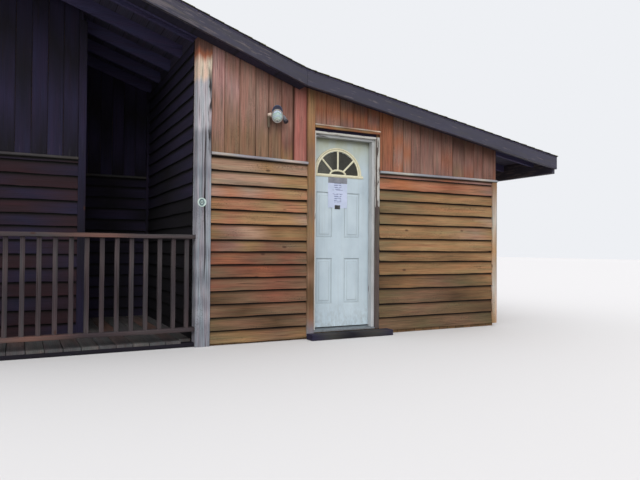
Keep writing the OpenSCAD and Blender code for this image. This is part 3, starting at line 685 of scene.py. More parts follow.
def shingle_finish(name):
    """Mineral-faced asphalt shingle: dark grey granules, drawn at 7 mm where the real ones
    are near 2 mm, paler scuffs, black soot runs and cushions of moss by the edges."""
    made, node, shader = finish_start(name, Roughness=0.95, Specular_IOR_Level=0.2)
    space = node("TexCoord", take="Object")
    tone = node("Attribute", attribute_name="tone", take="Color")
    wear = node("Attribute", attribute_name="wear", take="Fac")
    grit = node("TexVoronoi", {"Vector": space, "Scale": 150.0}).node.outputs
    shade = node("MapRange", node("SeparateColor", grit["Color"]), 0, 1, 0.55, 1.45)
    colour = node("VectorMath SCALE", tone, shade)
    soot = blots(node, space, (1.2, 5, 5), 5, 0.6, 0.45, 0.75, 0, 0.6)
    colour = node("Mix RGBA", soot, colour, linear("#232325"))
    cushion = node("Math ADD", mottle(node, space, (9, 9, 9), 6, 0.7),
                   node("Math MULTIPLY", wear, 0.22))
    moss = node("MapRange", cushion, 0.66, 0.74)
    leafy = blots(node, space, (120, 120, 120), 3, 0.6, 0.3, 0.7)
    green = node("Mix RGBA", leafy, linear("#4c4f2a"), linear("#6d6a3c"))
    colour = node("Mix RGBA", moss, colour, green)
    height = node("Math ADD", node("Math MULTIPLY", grit["Distance"], -0.5),
                  node("Math MULTIPLY", moss, 2.0))
    return finished(made, shader, colour, height, 0.003, 0.8)


def dull_metal(name, bare, roughness):
    """Weathered metal: the bare colour, blotched and scratched along one direction."""
    made, node, shader = finish_start(name, Metallic=1.0)
    space = node("TexCoord", take="Object")
    cloud = blots(node, space, (30, 30, 30), 5, 0.6, 0.35, 0.75)
    scratch = mottle(node, space, (8, 240, 240), 3, 0.6)
    base = linear(bare)
    colour = node("Mix RGBA", cloud, base, darker(base, 0.6))
    rubbed = node("MapRange", scratch, 0.3, 0.7, roughness - 0.1, roughness + 0.15)
    return finished(made, shader, colour, scratch, 0.0003, 0.4, Roughness=rubbed)


def paper(name):
    """Sun-bleached copier paper, faintly blue, with rows of faded grey dashes in two groups
    that stand for print without being letters."""
    made, node, shader = finish_start(name, Roughness=0.8, Specular_IOR_Level=0.2)
    low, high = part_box("door_notice")
    space = node("TexCoord", take="Object")
    split = node("SeparateXYZ", space).node.outputs
    row = node("Math MULTIPLY", split["Z"], 1 / 0.024)
    lines = node("MapRange", node("Math PINGPONG", row, 0.5), 0.22, 0.28)
    seat = node("CombineXYZ", {0: split["X"], 2: node("Math ROUND", row)})
    words = blots(node, seat, (26, 1, 3.7), 2, 0.5, 0.42, 0.46)
    away = node("Math ABSOLUTE", node("Math SUBTRACT", split["X"], (low.x + high.x) / 2))
    reach = blots(node, seat, (0, 1, 2.3), 2, 0.5, 0.4, 0.6, 0.025, 0.065)
    printed = node("Math SUBTRACT", node("Math GREATER_THAN", split["Z"], low.z + 0.055),
                   node("Math COMPARE", split["Z"], low.z + 0.172, 0.018))
    ink = node("Math MULTIPLY", node("Math MULTIPLY", lines, words),
               node("Math LESS_THAN", away, reach))
    ink = node("Math MULTIPLY", node("Math MULTIPLY", ink, printed), 0.8)
    cloud = mottle(node, space, (12, 12, 12), 4, 0.6)
    colour = node("Mix RGBA", node("MapRange", cloud, 0.3, 0.7), tint("sheet"),
                  linear("#bdc8dc"))
    colour = node("Mix RGBA", ink, colour, linear("#6f789c"))
    return finished(made, shader, colour, cloud, 0.001, 0.4)


# Each finish by what the real one is, how it is made, and above it what it gives the eye
FINISHES = {
    # Red-brown stain gone patchy over coarse saw marks, freckled black by rain
    "stained_rough_sawn_siding": (wood, dict(mould=0.8, bleached=0.2, streak=0.7, checks=0.8)),
    # Dull brown-black boards in steady shade, with soft grain and few knots
    "shaded_dark_siding": (wood, dict(mould=0.1, patch=0.5, streak=0.35, knots=0.1)),
    # Nearly black boards that keep only a trace of their grain
    "siding_in_deep_shade": (wood, dict(mould=0.1, patch=0.5, streak=0.35, knots=0.1, bleached=0.06)),
    # Evener brown boards on the sheltered sides
    "stained_end_wall_siding": (wood, dict(mould=0.4, patch=0.45)),
    # Pinkish brown boards, strongly streaked up their length, with fine black cracks
    "stained_upright_boards": (wood, dict(mould=0.5, patch=0.4, streak=0.8, bleached=0.25, checks=0.8)),
    # Blue-black boards whose joints barely show
    "shaded_upright_boards": (wood, dict(mould=0.1, patch=0.5, streak=0.35, knots=0.1)),
    # Silver fibres between long black drying cracks and dark knots
    "silvered_post_wood": (wood, dict(streak=0.75, patch=0.3, ringed=0.3, grey="#b9bbc2", greyed=0.04,
        bleached=0.4, mould=0.5, checks=1.0, knots=1.0, relief=0.0025, cracked=0.95)),
    # Warm, calm wood that oil has kept brown
    "oiled_post_wood": (wood, dict(streak=0.45, patch=0.25, ringed=0.3, mould=0.25, checks=0.5,
        cracked=0.8)),
    # Pale grey rails with black specks where water stands
    "bleached_rail_wood": (wood, dict(streak=0.5, patch=0.4, grey="#aaa6a8", greyed=0.12, mould=0.6,
        checks=0.9)),
    # The same rails in shade, dark and soft
    "shaded_rail_wood": (wood, dict(mould=0.4)),
    # Straw-coloured boards greying at the corners
    "weathered_corner_wood": (wood, dict(grey="#a09f97", greyed=0.05, mould=0.5)),
    # A tan board streaked with grey where rain runs off it
    "weathered_cap_wood": (wood, dict(greyed=0.06, mould=0.5, checks=0.8)),
    # Black-brown worn wood with grey scuffs
    "blackened_step_wood": (wood, dict(greyed=0.08, mould=0.5, checks=0.9)),
    # Dull grey-brown boards, scuffed underfoot
    "trodden_porch_boards": (wood, dict(greyed=0.06, mould=0.5)),
    # Dark brown stain with a grey bloom on its upper faces
    "dark_stained_railing_wood": (wood, dict(greyed=0.04, grey="#6d6666", mould=0.4, checks=0.9,
        bleached=0.2)),
    # Indigo-black boards under the eave
    "dark_stained_soffit": (wood, dict(stain="soffit", axis="X", board=0.14, mould=0.1)),
    # Blue-grey timbers that catch the light from below
    "rough_sawn_rafters": (wood, dict(stain="rafter", axis="X", mould=0.2)),
    # The same timber, darker, between the rafters
    "rough_sawn_blocks": (wood, dict(stain="block", axis="Y", mould=0.2)),
    # Blue-grey boards with black joints, seen from below
    "roof_boards": (wood, dict(stain="deck", axis="Y", board=0.15, mould=0.2)),
    # Plain brown boards inside
    "room_floor_boards": (wood, dict(stain="nut", axis="Y", board=0.12)),
    "bare_wall_lining": (wood, dict(stain="nut", axis="X", board=0.14, mould=0.15)),
    "bare_side_lining": (wood, dict(stain="nut", axis="Y", board=0.14, mould=0.15)),
    # Black wood behind the gaps over the door
    "shadowed_frame_wood": (wood, dict(stain="night", axis="X", mould=0.3)),
    # White paint gone grey-green, cracked along the grain
    "mildewed_head_paint": (old_paint, dict(paint="bead", under="#8d8479", bare=0.28, dirty=0.4)),
    # White flakes over dark bare wood
    "flaking_moulding_paint": (old_paint, dict(paint="bead", under="#5d504c", bare=0.38, dirty=0.35)),
    # Grey-white paint in long scales, with mauve-grey wood between them
    "peeling_jamb_paint": (old_paint, dict(paint="jamb", under="#8b8187", bare=0.22, dirty=0.35)),
    # The same paint, greener with dirt under the cap
    "peeling_head_paint": (old_paint, dict(paint="jamb", under="#7b737a", axis="X", bare=0.3, dirty=0.6)),
    # Slate paint with small pale scales and a green-black bloom
    "flaking_slate_paint": (old_paint, dict(paint="barge", under="#6d666c", bare=0.18, dirt="#45432f",
        dirty=0.35, roughness=0.6)),
    # Soft grey shine with rubbed lines along it
    "mill_finish_aluminium": (dull_metal, dict(bare="#a9adb0", roughness=0.5)),
    # Brown-gold shine, blotched dull
    "tarnished_brass": (dull_metal, dict(bare="#8f8468", roughness=0.35)),
    # Yellow-grey shine, nearly matt
    "zinc_plated_steel": (dull_metal, dict(bare="#a9a694", roughness=0.5)),
    # Cream, chalky and yellowed in patches
    "chalked_cream_plastic": (aged_plastic, dict(dirty="#a39d78", roughness=0.4, amount=0.4, scale=40)),
    # A grey strip rubbed dark
    "grey_adhesive_strip": (aged_plastic, dict(dirty="#4d5450", roughness=0.6, amount=0.35, scale=60)),
    # Dark paint over metal, stained brown and green
    "weathered_lamp_enamel": (aged_plastic, dict(dirty="#3b3a36", roughness=0.45, amount=0.4, scale=60)),
    # A glossy pale lens with a green cast
    "ribbed_frosted_lens": (aged_plastic, dict(dirty="#93a79c", roughness=0.18, amount=0.5, scale=70)),
    # Pale mint plastic with blue-grey grime
    "pale_disc_plastic": (aged_plastic, dict(dirty="#5f7a80", roughness=0.35, amount=0.5, scale=90)),
    # What these four give the eye stands in their own functions
    "enamelled_pressed_steel": (door_enamel, {}),
    "lattice_pressed_glass": (dark_glass, {}),
    "sunned_copier_paper": (paper, {}),
    "mineral_asphalt_shingle": (shingle_finish, {}),
}


def finish(name):
    """The material of a name, made at its first use."""
    maker, settings = FINISHES[name]
    return bpy.data.materials.get(name) or maker(name, **settings)


def dress(look, *nodes):
    """Gives CAD nodes a finish in place of their plain colour."""
    for node in nodes:
        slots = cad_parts[node].data.materials
        slots.clear()
        slots.append(finish(look))


# Pieces

# Width of the square strips in the porch's inner corners
STRIP = 0.03


def wall_lines():
    """Plan lines of the building, read from the frame."""
    k = sizes("cladding")
    wing = plan_box("wing_laps")
    uprights = plan_box("wing_boards")
    inset = uprights[0][0] - wing[0][0] - k.butt
    return {
        "post_x1": plan_box("corner_post")[1][0], "corner_in": inset,
        "door_post_x0": plan_box("door_post")[0][0],
        "door_post_x1": plan_box("door_post")[1][0],
        "mould_x1": plan_box("door_moulding")[1][0],
        "right_plane": plan_box("right_wall_laps")[1][0] - k.butt,
        "room_w": plan_box("corner_boards")[1][0],
        "room_d": plan_box("back_wall_laps")[1][1] - k.butt,
        "wing_x0": wing[0][0] + k.butt, "wing_x1": plan_box("wing_side_wall")[1][0] + k.depth,
        "wing_y": uprights[0][1], "porch_y": uprights[1][1] - k.depth,
        "porch_x": (plan_box("porch_back_wall")[0][0] + k.depth + STRIP, uprights[1][0]),
        "wing_rail": plan_box("wing_rails"),
    }


def front_laps(k, line):
    """The laps on both sides of the door, and the flat board over the right ones."""
    tones = (
        "coral tan tan rose tan rose", "tan tan tan straw tan tan",
        "tan rose tan tan straw straw", "rose coral rose coral straw coral",
        "saddle coral coral straw coral straw", "straw coral straw straw straw tan",
        "nut clay tan nut saddle nut", "brick clay saddle brick umber nut",
        "brick rust brick umber brick umber", "umber brick rust brick umber",
        "brick umber brick umber", "bark umber brick umber", "umber bark umber umber",
        "moss umber bark umber")
    stock = Stock()
    lap_wall(stock, "front", 0, (line["post_x1"], line["door_post_x0"]), k.base_left,
             plan_box("front_laps_left")[1][2], k.lap_left, 11, STAINED, tones,
             seen=np.array(k.seen_left))
    stock.make("lap_boards_left", "stained_rough_sawn_siding", "lap_wood",
               "front_laps_left")
    tones = (
        "coral sienna coral rust coral clay", "olive olive saddle saddle straw saddle",
        "moss olive saddle saddle saddle straw", "olive saddle saddle straw saddle tan",
        "straw straw saddle straw tan straw", "olive saddle straw saddle straw saddle",
        "olive nut saddle nut saddle straw", "nut saddle saddle saddle straw",
        "bark nut umber moss saddle", "moss umber bark nut", "moss umber moss bark",
        "umber moss umber moss")
    end, laps_top = plan_box("front_laps_right")[1], k.seen_right[-1]
    stock = Stock()
    lap_wall(stock, "front", 0, (line["mould_x1"], end[0]), k.base, laps_top, k.lap, 12,
             STAINED, tones, seen=np.array(k.seen_right[:-1]))
    timber(stock, (line["mould_x1"], -k.frieze_out, laps_top), end, "X",
           "clay mauve clay rust mauve clay", 29, wave=0.0008, spacing=0.008,
           dim=lambda c, o: np.interp(end[2] - c, [0, 0.012, 0.026, 0.045],
                                      [0.1, 0.3, 0.85, 1]))
    stock.make("lap_boards_right", "stained_rough_sawn_siding", "lap_wood",
               "front_laps_right")


def other_laps(k, line):
    """The laps of the passage, the right wall and the back."""
    black = ("soot pitch soot", "pitch soot pitch", "pitch pitch soot")
    black_top = ("night night night",) * 8 + ("night soot night",) * 3
    calm = "stained_end_wall_siding"
    for name, node, look, slot, side, plane, axis, seed, recipes, tones, depth in (
            ("passage", "left_wall_laps", "siding_in_deep_shade", "dark_lap_wood", "left",
             0, 1, 13, black, black_top, None),
            ("right_wall", "right_wall_laps", calm, "lap_wood", "right",
             line["right_plane"], 1, 14, STAINED, (), None),
            ("back", "back_wall_laps", calm, "lap_wood", "back", line["room_d"], 0, 15,
             STAINED, (), sizes("roof").deck_depth)):
        low, high = plan_box(node)
        stock = Stock()
        lap_wall(stock, side, plane, (low[axis], high[axis]), k.base, high[2], k.lap,
                 seed, recipes, tones, depth)
        stock.make("lap_boards_" + name, look, slot, node)


def wing_laps(k, line):
    """The laps of the wing's front, the porch's end and the wing's two sides."""
    corner, rail = line["corner_in"], line["wing_rail"][0][2]
    front, end = line["wing_y"], line["porch_y"]
    stock = Stock()
    for side, plane, run, top, seed, recipes, seen in (
            ("front", front, (line["wing_x0"] + corner, line["wing_x1"] - corner), rail, 16,
             ("wine wine night wine", "wine night wine wine", "night wine wine night"),
             np.array(k.seen_wing)),
            ("front", end, line["porch_x"], rail, 17, SHADED, None),
            ("right", line["wing_x1"], (front + corner, end - STRIP),
             plan_box("wing_side_wall")[1][2], 18, SHADED, None),
            ("left", line["wing_x0"], (front + corner, line["room_d"] - corner),
             plan_box("wing_end_wall")[1][2], 19, STAINED, None)):
        lap_wall(stock, side, plane, run, k.base, top, k.lap, seed, recipes, seen=seen)
    stock.make("lap_boards_wing", "shaded_dark_siding", "dark_lap_wood", "wing_laps")


class OUTHOUSE_OT_lap_boards(bpy.types.Operator):
    """Adds the lap boards of all walls, each board a carried section of its own"""
    bl_idname = "outhouse.lap_boards"
    bl_label = "Lap Boards"

    def execute(self, context):
        k, line = sizes("cladding"), wall_lines()
        front_laps(k, line)
        other_laps(k, line)
        wing_laps(k, line)
        return {"FINISHED"}


def boards_left(line):
    """The boards left of the door, over a drip rail that falls a little to the right."""
    joints = (line["post_x1"], 0.270, 0.422, 0.588, 0.728, 0.867, 1.003,
              line["door_post_x0"])
    tones = ("umber clay clay mauve mauve mauve", "umber umber clay mauve clay mauve",
             "umber umber clay clay clay clay", "umber umber clay clay plum plum",
             "umber umber plum clay plum plum", "nut loam clay loam plum plum",
             "crimson crimson crimson crimson crimson plum")
    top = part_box("drip_rails")[1].z
    slope = -(top - plan_box("front_boards_left")[0][2]) / (joints[-1] - joints[0])
    stock = Stock()
    board_row(stock, joints, 0, top, sizes("roof").deck_depth, tones, 210,
              (slope, joints[0]), (0.65, 0.75, 0.65, 0.75, 0.6, 0.65, 0.12, 0.12))
    stock.make("upright_boards_left", "stained_upright_boards", "board_wood",
               "front_boards_left")


def boards_right(line):
    """The boards over the door and right of it."""
    low, high = plan_box("front_boards_right")
    deck = sizes("roof").deck_depth
    joints = (line["mould_x1"], 2.088, 2.235, 2.372, 2.483, 2.611, 2.798, 2.917, 3.090,
              3.267, 3.418, 3.564, 3.733, high[0])
    tones = ("rust rust", "brick rust rust rust", "rust clay rust clay clay",
             "clay rust clay clay", "plum plum clay plum", "clay plum plum plum",
             "plum clay plum plum", "plum brick plum plum", "umber plum dusk plum",
             "brick plum loam plum", "plum loam plum loam", "loam plum loam plum",
             "brick loam plum loam")
    over = (line["door_post_x1"], 1.384, 1.551, 1.718, 1.896, line["mould_x1"])
    over_tones = ("clay rust coral clay", "clay rust coral plum", "plum rust clay plum",
                  "brick rust plum plum", "rust plum rust plum")
    stock = Stock()
    board_row(stock, over, 0, plan_box("door_drip_cap")[1][2], deck, over_tones, 230)
    board_row(stock, joints, 0, low[2], deck, tones, 250)
    stock.make("upright_boards_right", "stained_upright_boards", "board_wood",
               "front_boards_right")


def boards_wing(line):
    """The same boards on the wing's front and at the back of the porch, in deep shade."""
    inset, wide = line["corner_in"], 0.15
    stock = Stock()
    for x0, x1, y0, depth in (
            (line["wing_x0"] + inset, line["wing_x1"] - inset, line["wing_y"],
             sizes("roof").deck_depth),
            (*line["porch_x"], line["porch_y"], sizes("roof").rafter_depth)):
        joints = np.linspace(x0, x1, round((x1 - x0) / wide) + 1)
        board_row(stock, joints, y0, line["wing_rail"][1][2], depth, SHADED,
                  int(280 + y0 * 10))
    stock.make("upright_boards_wing", "shaded_upright_boards", "dark_lap_wood",
               "wing_boards")


def board_row(stock, joints, y0, foot, depth, tones, seed, slope=(0.0, 0.0), seams=None):
    """Boards side by side between their joints."""
    for k, (x0, x1) in enumerate(zip(joints[:-1], joints[1:])):
        upright_board(stock, x0, x1, y0, foot, depth, tones[k % len(tones)], seed + k,
                      slope, seams[k:k + 2] if seams else (0.72, 0.72))


def upright_board(stock, x0, x1, y0, foot, depth, tones, seed, slope, seams):
    """One board from its foot up to the roof, its faces a little cupped. Seams gives the
    shade at its two edges, from black at 0 to unshaded at 1."""
    k = sizes("cladding")
    profile = rounded(x0 + k.gap / 2, x1 - k.gap / 2, 0.001 - k.depth, -0.001,
                      k.nose * 0.8, 0.012)
    starts = foot + slope[0] * (profile[:, 0] - slope[1])
    stops = roof_top(profile[:, 0]) - depth
    middle = (x0 + x1) / 2
    dark = 1.0
    for edge, seam in zip((profile[:, 0] - x0, x1 - profile[:, 0]), seams):
        reach = 0.011 if seam > 0.3 else 0.024
        dark = np.minimum(dark, np.interp(edge, [0.002, reach / 2, reach],
                                          [seam, 0.55 + seam * 0.4, 1]))
    dark = dark * np.where(profile[:, 1] < -0.006, 0.2, 1)
    shade = np.random.default_rng(seed).uniform(0.93, 1.05)

    def relief(along, across, out, worn):
        cup = ((across - middle) / (x1 - x0)) ** 2
        push = 0.0012 * wander(seed, along * 3) + 0.002 * cup * wander(seed + 1, along * 1.5)
        across = across + 0.0008 * wander(seed + 2, along * 4)
        worn = worn + 0.8 * smooth(0.25, 0.0, along - starts)
        return across, out - np.abs(push), worn

    steps = max(8, int((stops.max() - starts.min()) / 0.04))
    carry(stock, profile, upright(y0), (starts, stops), steps, tones, seed, relief,
          dim=dark * shade)


class OUTHOUSE_OT_vertical_boards(bpy.types.Operator):
    """Adds the upright boards over the drip rails, cut to the roof's slope at their heads"""
    bl_idname = "outhouse.vertical_boards"
    bl_label = "Vertical Boards"

    def execute(self, context):
        line = wall_lines()
        boards_left(line)
        boards_right(line)
        boards_wing(line)
        return {"FINISHED"}


def timber(stock, low, high, axis, tones, seed, radius=0.003, step=0.05, wave=0.001,
           spacing=0.03, dim=None):
    """A sawn timber that fills a plan box, its edges rounded and its grain along an axis."""
    a, c, o = {"X": (0, 2, 1), "Y": (1, 0, 2), "Z": (2, 0, 1)}[axis]
    profile = rounded(low[c], high[c], low[o], high[o], radius, spacing)

    def place(along, across, out):
        parts = [None] * 3
        parts[a], parts[c], parts[o] = along, across, out
        return parts

    steps = max(2, int((high[a] - low[a]) / step) + 1)
    carry(stock, profile, place, (low[a], high[a]), steps, tones, seed,
          rough_sawn(seed, wave), dim=dim(*profile.T) if dim else 1.0)


def weathered_post(stock, low, high, tones, seed, cracks, top=None, rotten=0.0):
    """A square post whose faces have opened in long drying cracks: each crack is a narrow
    valley that follows a wandering line up the post and fades at its ends. The right edge
    of the front face may be dark and ragged above the middle."""
    span = high - low
    profile = rounded(low[0], high[0], -high[1], -low[1], 0.007, 0.0045)
    rng = np.random.default_rng(seed)
    centre = (low + high) / 2
    stops = high[2] if top is None else top(profile[:, 0])
    lines = [(rng.integers(4), rng.uniform(-0.36, 0.36), rng.uniform(0.0, 0.7),
              rng.uniform(0.15, 0.5), rng.uniform(0.0022, 0.0045), rng.uniform(0.004, 0.010))
             for _ in range(cracks)]

    def relief(along, across, out, worn):
        u = (across - centre[0]) / span[0]
        v = (out + centre[1]) / span[1]
        share = (along - low[2]) / span[2]
        sink = 0.0015 * wander(seed, along * 3, u * 4, v * 4)
        for number, (side, at, start, length, width, depth) in enumerate(lines):
            across_face = u if side in (0, 2) else v
            facing = (v, u, -v, -u)[side]
            gap = (across_face - at - 0.05 * wander(seed + number, along * 3)) * span[0]
            valley = np.exp(-(gap / width) ** 2)
            fade = smooth(start, start + 0.08, share) * smooth(start + length + 0.08,
                                                               start + length, share)
            cut = depth * valley * fade * smooth(0.38, 0.47, facing)
            sink = sink + cut
            worn = worn + cut / 0.006
        ragged = u + 0.07 * wander(seed + 71, along * 11) + 0.04 * wander(seed + 72, along * 31)
        decay = smooth(0.22, 0.34, ragged) * smooth(0.3, 0.45, v) * smooth(1.7, 2.0, along)
        decay = decay * smooth(2.75, 2.6, along) * rotten
        worn = worn + decay * (1 + 0.6 * wander(seed + 73, along * 17, u * 9))
        sink = sink + 0.003 * decay
        reach = np.maximum(np.maximum(np.abs(u), np.abs(v)), 1e-6)
        across = across - np.clip(sink, 0, 0.02) * u / reach
        out = out - np.clip(sink, 0, 0.02) * v / reach
        return across, out, np.clip(worn, 0, 3)

    steps = int(span[2] / 0.016)
    carry(stock, profile, upright(0), (low[2], stops), steps, tones, seed, relief,
          drift=0.014)


class OUTHOUSE_OT_posts(bpy.types.Operator):
    """Adds the cracked grey corner posts and the stained post beside the door"""
    bl_idname = "outhouse.posts"
    bl_label = "Posts"

    def execute(self, context):
        lower = ("slate slate ash slate ash slate ash slate ash ash slate ash ash slate ash ash "
                 "ash silver silver silver")
        tones = " ".join(f"{name} {name}" for name in lower.split())
        tones += " silver cream cream cream ember dusk dusk dusk"
        for node, seed, rotten in (("corner_post", 31, 0.9), ("porch_post", 32, 0.2)):
            stock = Stock()
            weathered_post(stock, *plan_box(node), tones, seed, 34, rotten=rotten)
            stock.make("grey_" + node, "silvered_post_wood", "post_wood", node)
        stock = Stock()
        weathered_post(stock, *plan_box("door_post"),
                       "slate umber bark bark umber bark umber nut umber umber nut nut umber nut "
                       "honey honey honey clay", 33, 5,
                       top=lambda x: roof_top(x) - sizes("roof").deck_depth)
        stock.make("stained_door_post", "oiled_post_wood", "post_wood", "door_post")
        return {"FINISHED"}


def drip_rail(stock, x0, x1, y0, top, drop, out, height, tones, seed):
    """One drip rail: square below and in front, with a top that sheds to the front."""
    section = np.array([[0.001 - sizes("cladding").depth, -height], [0.001 - sizes("cladding").depth, 0],
                        [0.004, -0.001], [out * 0.6, -0.003], [out - 0.004, -0.006],
                        [out, -0.011], [out, 0.010 - height], [out, 0.005 - height],
                        [out - 0.004, -height], [out * 0.5, -height]])

    def place(a, c, o):
        return a, y0 - c, top + o + drop * (a - x0) / (x1 - x0)

    carry(stock, section, place, (x0, x1), max(12, int((x1 - x0) / 0.03)), tones, seed,
          relief=rough_sawn(seed, 0.0013), wear=0.4,
          dim=np.array([0.2, 0.5, 0.7, 1, 1, 1, 1, 0.6, 0.25, 0.15]))


def drip_rails(line):
    """The rails on the front, and the darker ones on the wing and in the porch."""
    low, high = plan_box("drip_rails")
    height = 0.034
    left_drop = plan_box("front_boards_left")[0][2] - high[2]
    right_end = plan_box("front_boards_right")[1][0]
    right_top = plan_box("front_laps_right")[1][2] + height
    tones = "ash bone ash slate ash bone ash"
    stock = Stock()
    drip_rail(stock, line["post_x1"], line["door_post_x0"], 0, high[2], left_drop,
              -low[1], height, tones, 41)
    drip_rail(stock, line["mould_x1"], right_end, 0, right_top, 0.0, -low[1], height,
              tones, 42)
    stock.make("drip_rail_pair", "bleached_rail_wood", "grey_wood", "drip_rails")
    low, high = line["wing_rail"]
    stock = Stock()
    inset = line["corner_in"]
    for x0, x1, y0, seed in (
            (line["wing_x0"] + inset, line["wing_x1"] - inset, line["wing_y"], 43),
            (*line["porch_x"], line["porch_y"], 44)):
        drip_rail(stock, x0, x1, y0, high[2], 0.0, -plan_box("drip_rails")[0][1],
                  high[2] - low[2], "char felt char", seed)
    stock.make("drip_rails_in_shade", "shaded_rail_wood", "grey_wood", "wing_rails")


def corner_boards(line):
    """Corner boards of two legs, each an L carried up the wall and cut to the roof, and
    square strips in the porch's inner corners."""
    k, r = sizes("cladding"), sizes("roof")
    wide = line["corner_in"] + k.trim
    arm, end_wall = k.trim + k.depth, 0.14
    room_w, room_d = line["room_w"], line["room_d"]
    rail = plan_box("front_laps_right")[1][2]
    floor = plan_box("porch_floor")[1][2]
    pale, dark = "straw bone straw bone nut", "night soot night soot"
    stock = Stock()

    def leg(x, y, dx, dy, foot, depth, tones, seed, top=None):
        section = eased([(x, -y), (x + dx * wide, -y), (x + dx * wide, -y - dy * arm),
                         (x + dx * arm, -y - dy * arm), (x + dx * arm, -y - dy * wide),
                         (x, -y - dy * wide)], 0.003, 0.02)
        ends = roof_top(section[:, 0]) - depth if top is None else top
        carry(stock, section, upright(0), (foot, ends), 60, tones, seed,
              rough_sawn(seed, 0.0008))

    leg(room_w, -k.trim, -1, 1, k.base, 0, pale, 55, rail)
    leg(room_w, room_d + k.trim, -1, -1, k.base, r.low_depth, pale, 56)
    leg(line["wing_x0"] - k.trim, room_d + k.trim, 1, -1, k.base, r.rafter_depth, pale, 57)
    front = line["wing_y"] - k.trim
    leg(line["wing_x1"] + k.trim, front, -1, 1, floor, r.rafter_depth, dark, 58)
    leg(line["wing_x0"] - k.trim, front, 1, 1, floor, r.rafter_depth, dark, 59)
    for low, high, foot, depth, tones, seed in (
            ((room_w - arm, k.depth), (room_w, line["corner_in"]), rail, r.low_depth,
             pale, 60),
            ((line["porch_x"][1], line["porch_y"] - STRIP), (k.depth, room_d - end_wall),
             floor, r.rafter_depth, dark, 61),
            ((line["wing_x1"] - k.depth, line["porch_y"] - STRIP),
             (line["porch_x"][0], room_d - end_wall), floor, r.rafter_depth, dark, 62)):
        section = rounded(low[0], high[0], -high[1], -low[1], 0.003, 0.02)
        carry(stock, section, upright(0), (foot, roof_top(section[:, 0]) - depth), 50,
              tones, seed, rough_sawn(seed, 0.0006))
    stock.make("corner_board_set", "weathered_corner_wood", "corner_wood",
               "corner_boards")


def over_door():
    """The drip cap, the head strip below it and the stepped moulding beside the door."""
    low, high = plan_box("door_drip_cap")
    cap = Stock()
    out, tall = -low[1], high[2] - low[2]
    section = np.array([[-high[1], 0], [0.004, 0], [out - 0.006, 0], [out - 0.002, 0.002],
                        [out, 0.006], [out, tall * 0.5], [out - 0.005, tall * 0.62],
                        [out * 0.4, tall * 0.8], [0.002, tall], [-high[1], tall]])
    carry(cap, section, lambda a, c, o: (a, -c, low[2] + o), (low[0], high[0]), 40,
          "bone tan bone clay tan bone tan cream", 51, relief=rough_sawn(51, 0.0014),
          wear=0.3, dim=np.array([0.1, 0.1, 0.2, 0.7, 1.1, 1.1, 1, 1, 0.5, 0.2]))
    timber(cap, (low[0] + 0.004, 0.006 - out, low[2] - 0.024),
           (high[0] - 0.004, 0.001, low[2] + 0.002), "X",
           "saddle rust saddle nut rust saddle rust", 55, step=0.03,
           dim=lambda c, o: np.interp(c - low[2], [-0.024, -0.018, -0.008, 0.002],
                                      [0.5, 0.95, 1, 0.8]))
    cap.make("drip_cap_over_door", "weathered_cap_wood", "cap_wood", "door_drip_cap")
    low, high = plan_box("head_moulding")
    head = Stock()
    tall = 0.024
    timber(head, (low[0], low[1], high[2] - tall), high, "X", "silver", 52, radius=0.004,
           step=0.03)
    timber(head, low, (low[0] + 0.014, high[1], high[2] - tall), "Z", "silver", 54,
           wave=0.0006)
    head.make("head_strip", "mildewed_head_paint", "jamb_paint", "head_moulding")
    low, high = plan_box("door_moulding")
    side = Stock()
    wide, proud = high[0] - low[0], -low[1]
    bead = np.array([[0, -high[1]], [0, 0.001], [0.004, 0.003], [0.010, 0.0035],
                     [0.014, 0.001], [0.018, 0.005], [0.024, 0.0085], [0.030, proud],
                     [wide - 0.006, proud], [wide - 0.001, proud - 0.004],
                     [wide, proud - 0.01], [wide, -high[1]]])
    bared = np.interp(bead[:, 0], [0, 0.002, 0.006, 0.014, 0.018, 0.035],
                      [0, 0.4, 1.6, 1.6, 0.1, 0])

    def relief(along, across, out, worn):
        across = across + 0.0006 * wander(53, along * 7)
        return across, out, worn + 1.4 * smooth(1.41, 1.34, along)

    carry(side, bead, lambda a, c, o: (low[0] + c, -o, a), (low[2], high[2]), 90,
          "silver silver", 53, relief=relief, wear=bared)
    side.make("door_side_moulding", "flaking_moulding_paint", "jamb_paint",
              "door_moulding")


def jambs():
    """The door frame's sides: each a board and its stop as one L carried up, and the head
    with its own stop carried across."""
    slab = plan_box("door_slab")
    board = plan_box("jamb_left")
    stop_y = slab[0][1] - (board[1][0] - board[0][0]) / 9
    play = 0.006
    for node, side, seed in (("jamb_left", 1, 64), ("jamb_right", -1, 65)):
        low, high = plan_box(node)
        outer, inner = (low[0], high[0]) if side > 0 else (high[0], low[0])
        face = slab[0][0] - play if side > 0 else slab[1][0] + play
        stock = Stock()
        section = eased([(outer, -low[1]), (inner, -low[1]), (inner, -stop_y),
                         (face, -stop_y), (face, -high[1]), (outer, -high[1])],
                        0.003, 0.012)
        outer_half = side < 0 and (section[:, 0] > (outer + face) / 2 + 0.004)

        def relief(along, across, out, worn):
            across = across + 0.0006 * wander(seed, along * 7)
            peeled = smooth(1.85, 1.55, along + 0.1 * wander(seed + 1, along * 4))
            return across, out, worn + 0.9 * peeled * outer_half

        carry(stock, section, upright(0), (low[2], high[2]), 80, "silver", seed, relief)
        stock.make(node + "_board", "peeling_jamb_paint", "jamb_paint", node)
    dress("peeling_head_paint", "jamb_head")


class OUTHOUSE_OT_trim(bpy.types.Operator):
    """Adds the drip rails, corner boards, drip cap, mouldings and the jambs' paint"""
    bl_idname = "outhouse.trim"
    bl_label = "Rails and Trim"

    def execute(self, context):
        line = wall_lines()
        drip_rails(line)
        corner_boards(line)
        over_door()
        jambs()
        dress("mill_finish_aluminium", "door_sill")
        return {"FINISHED"}


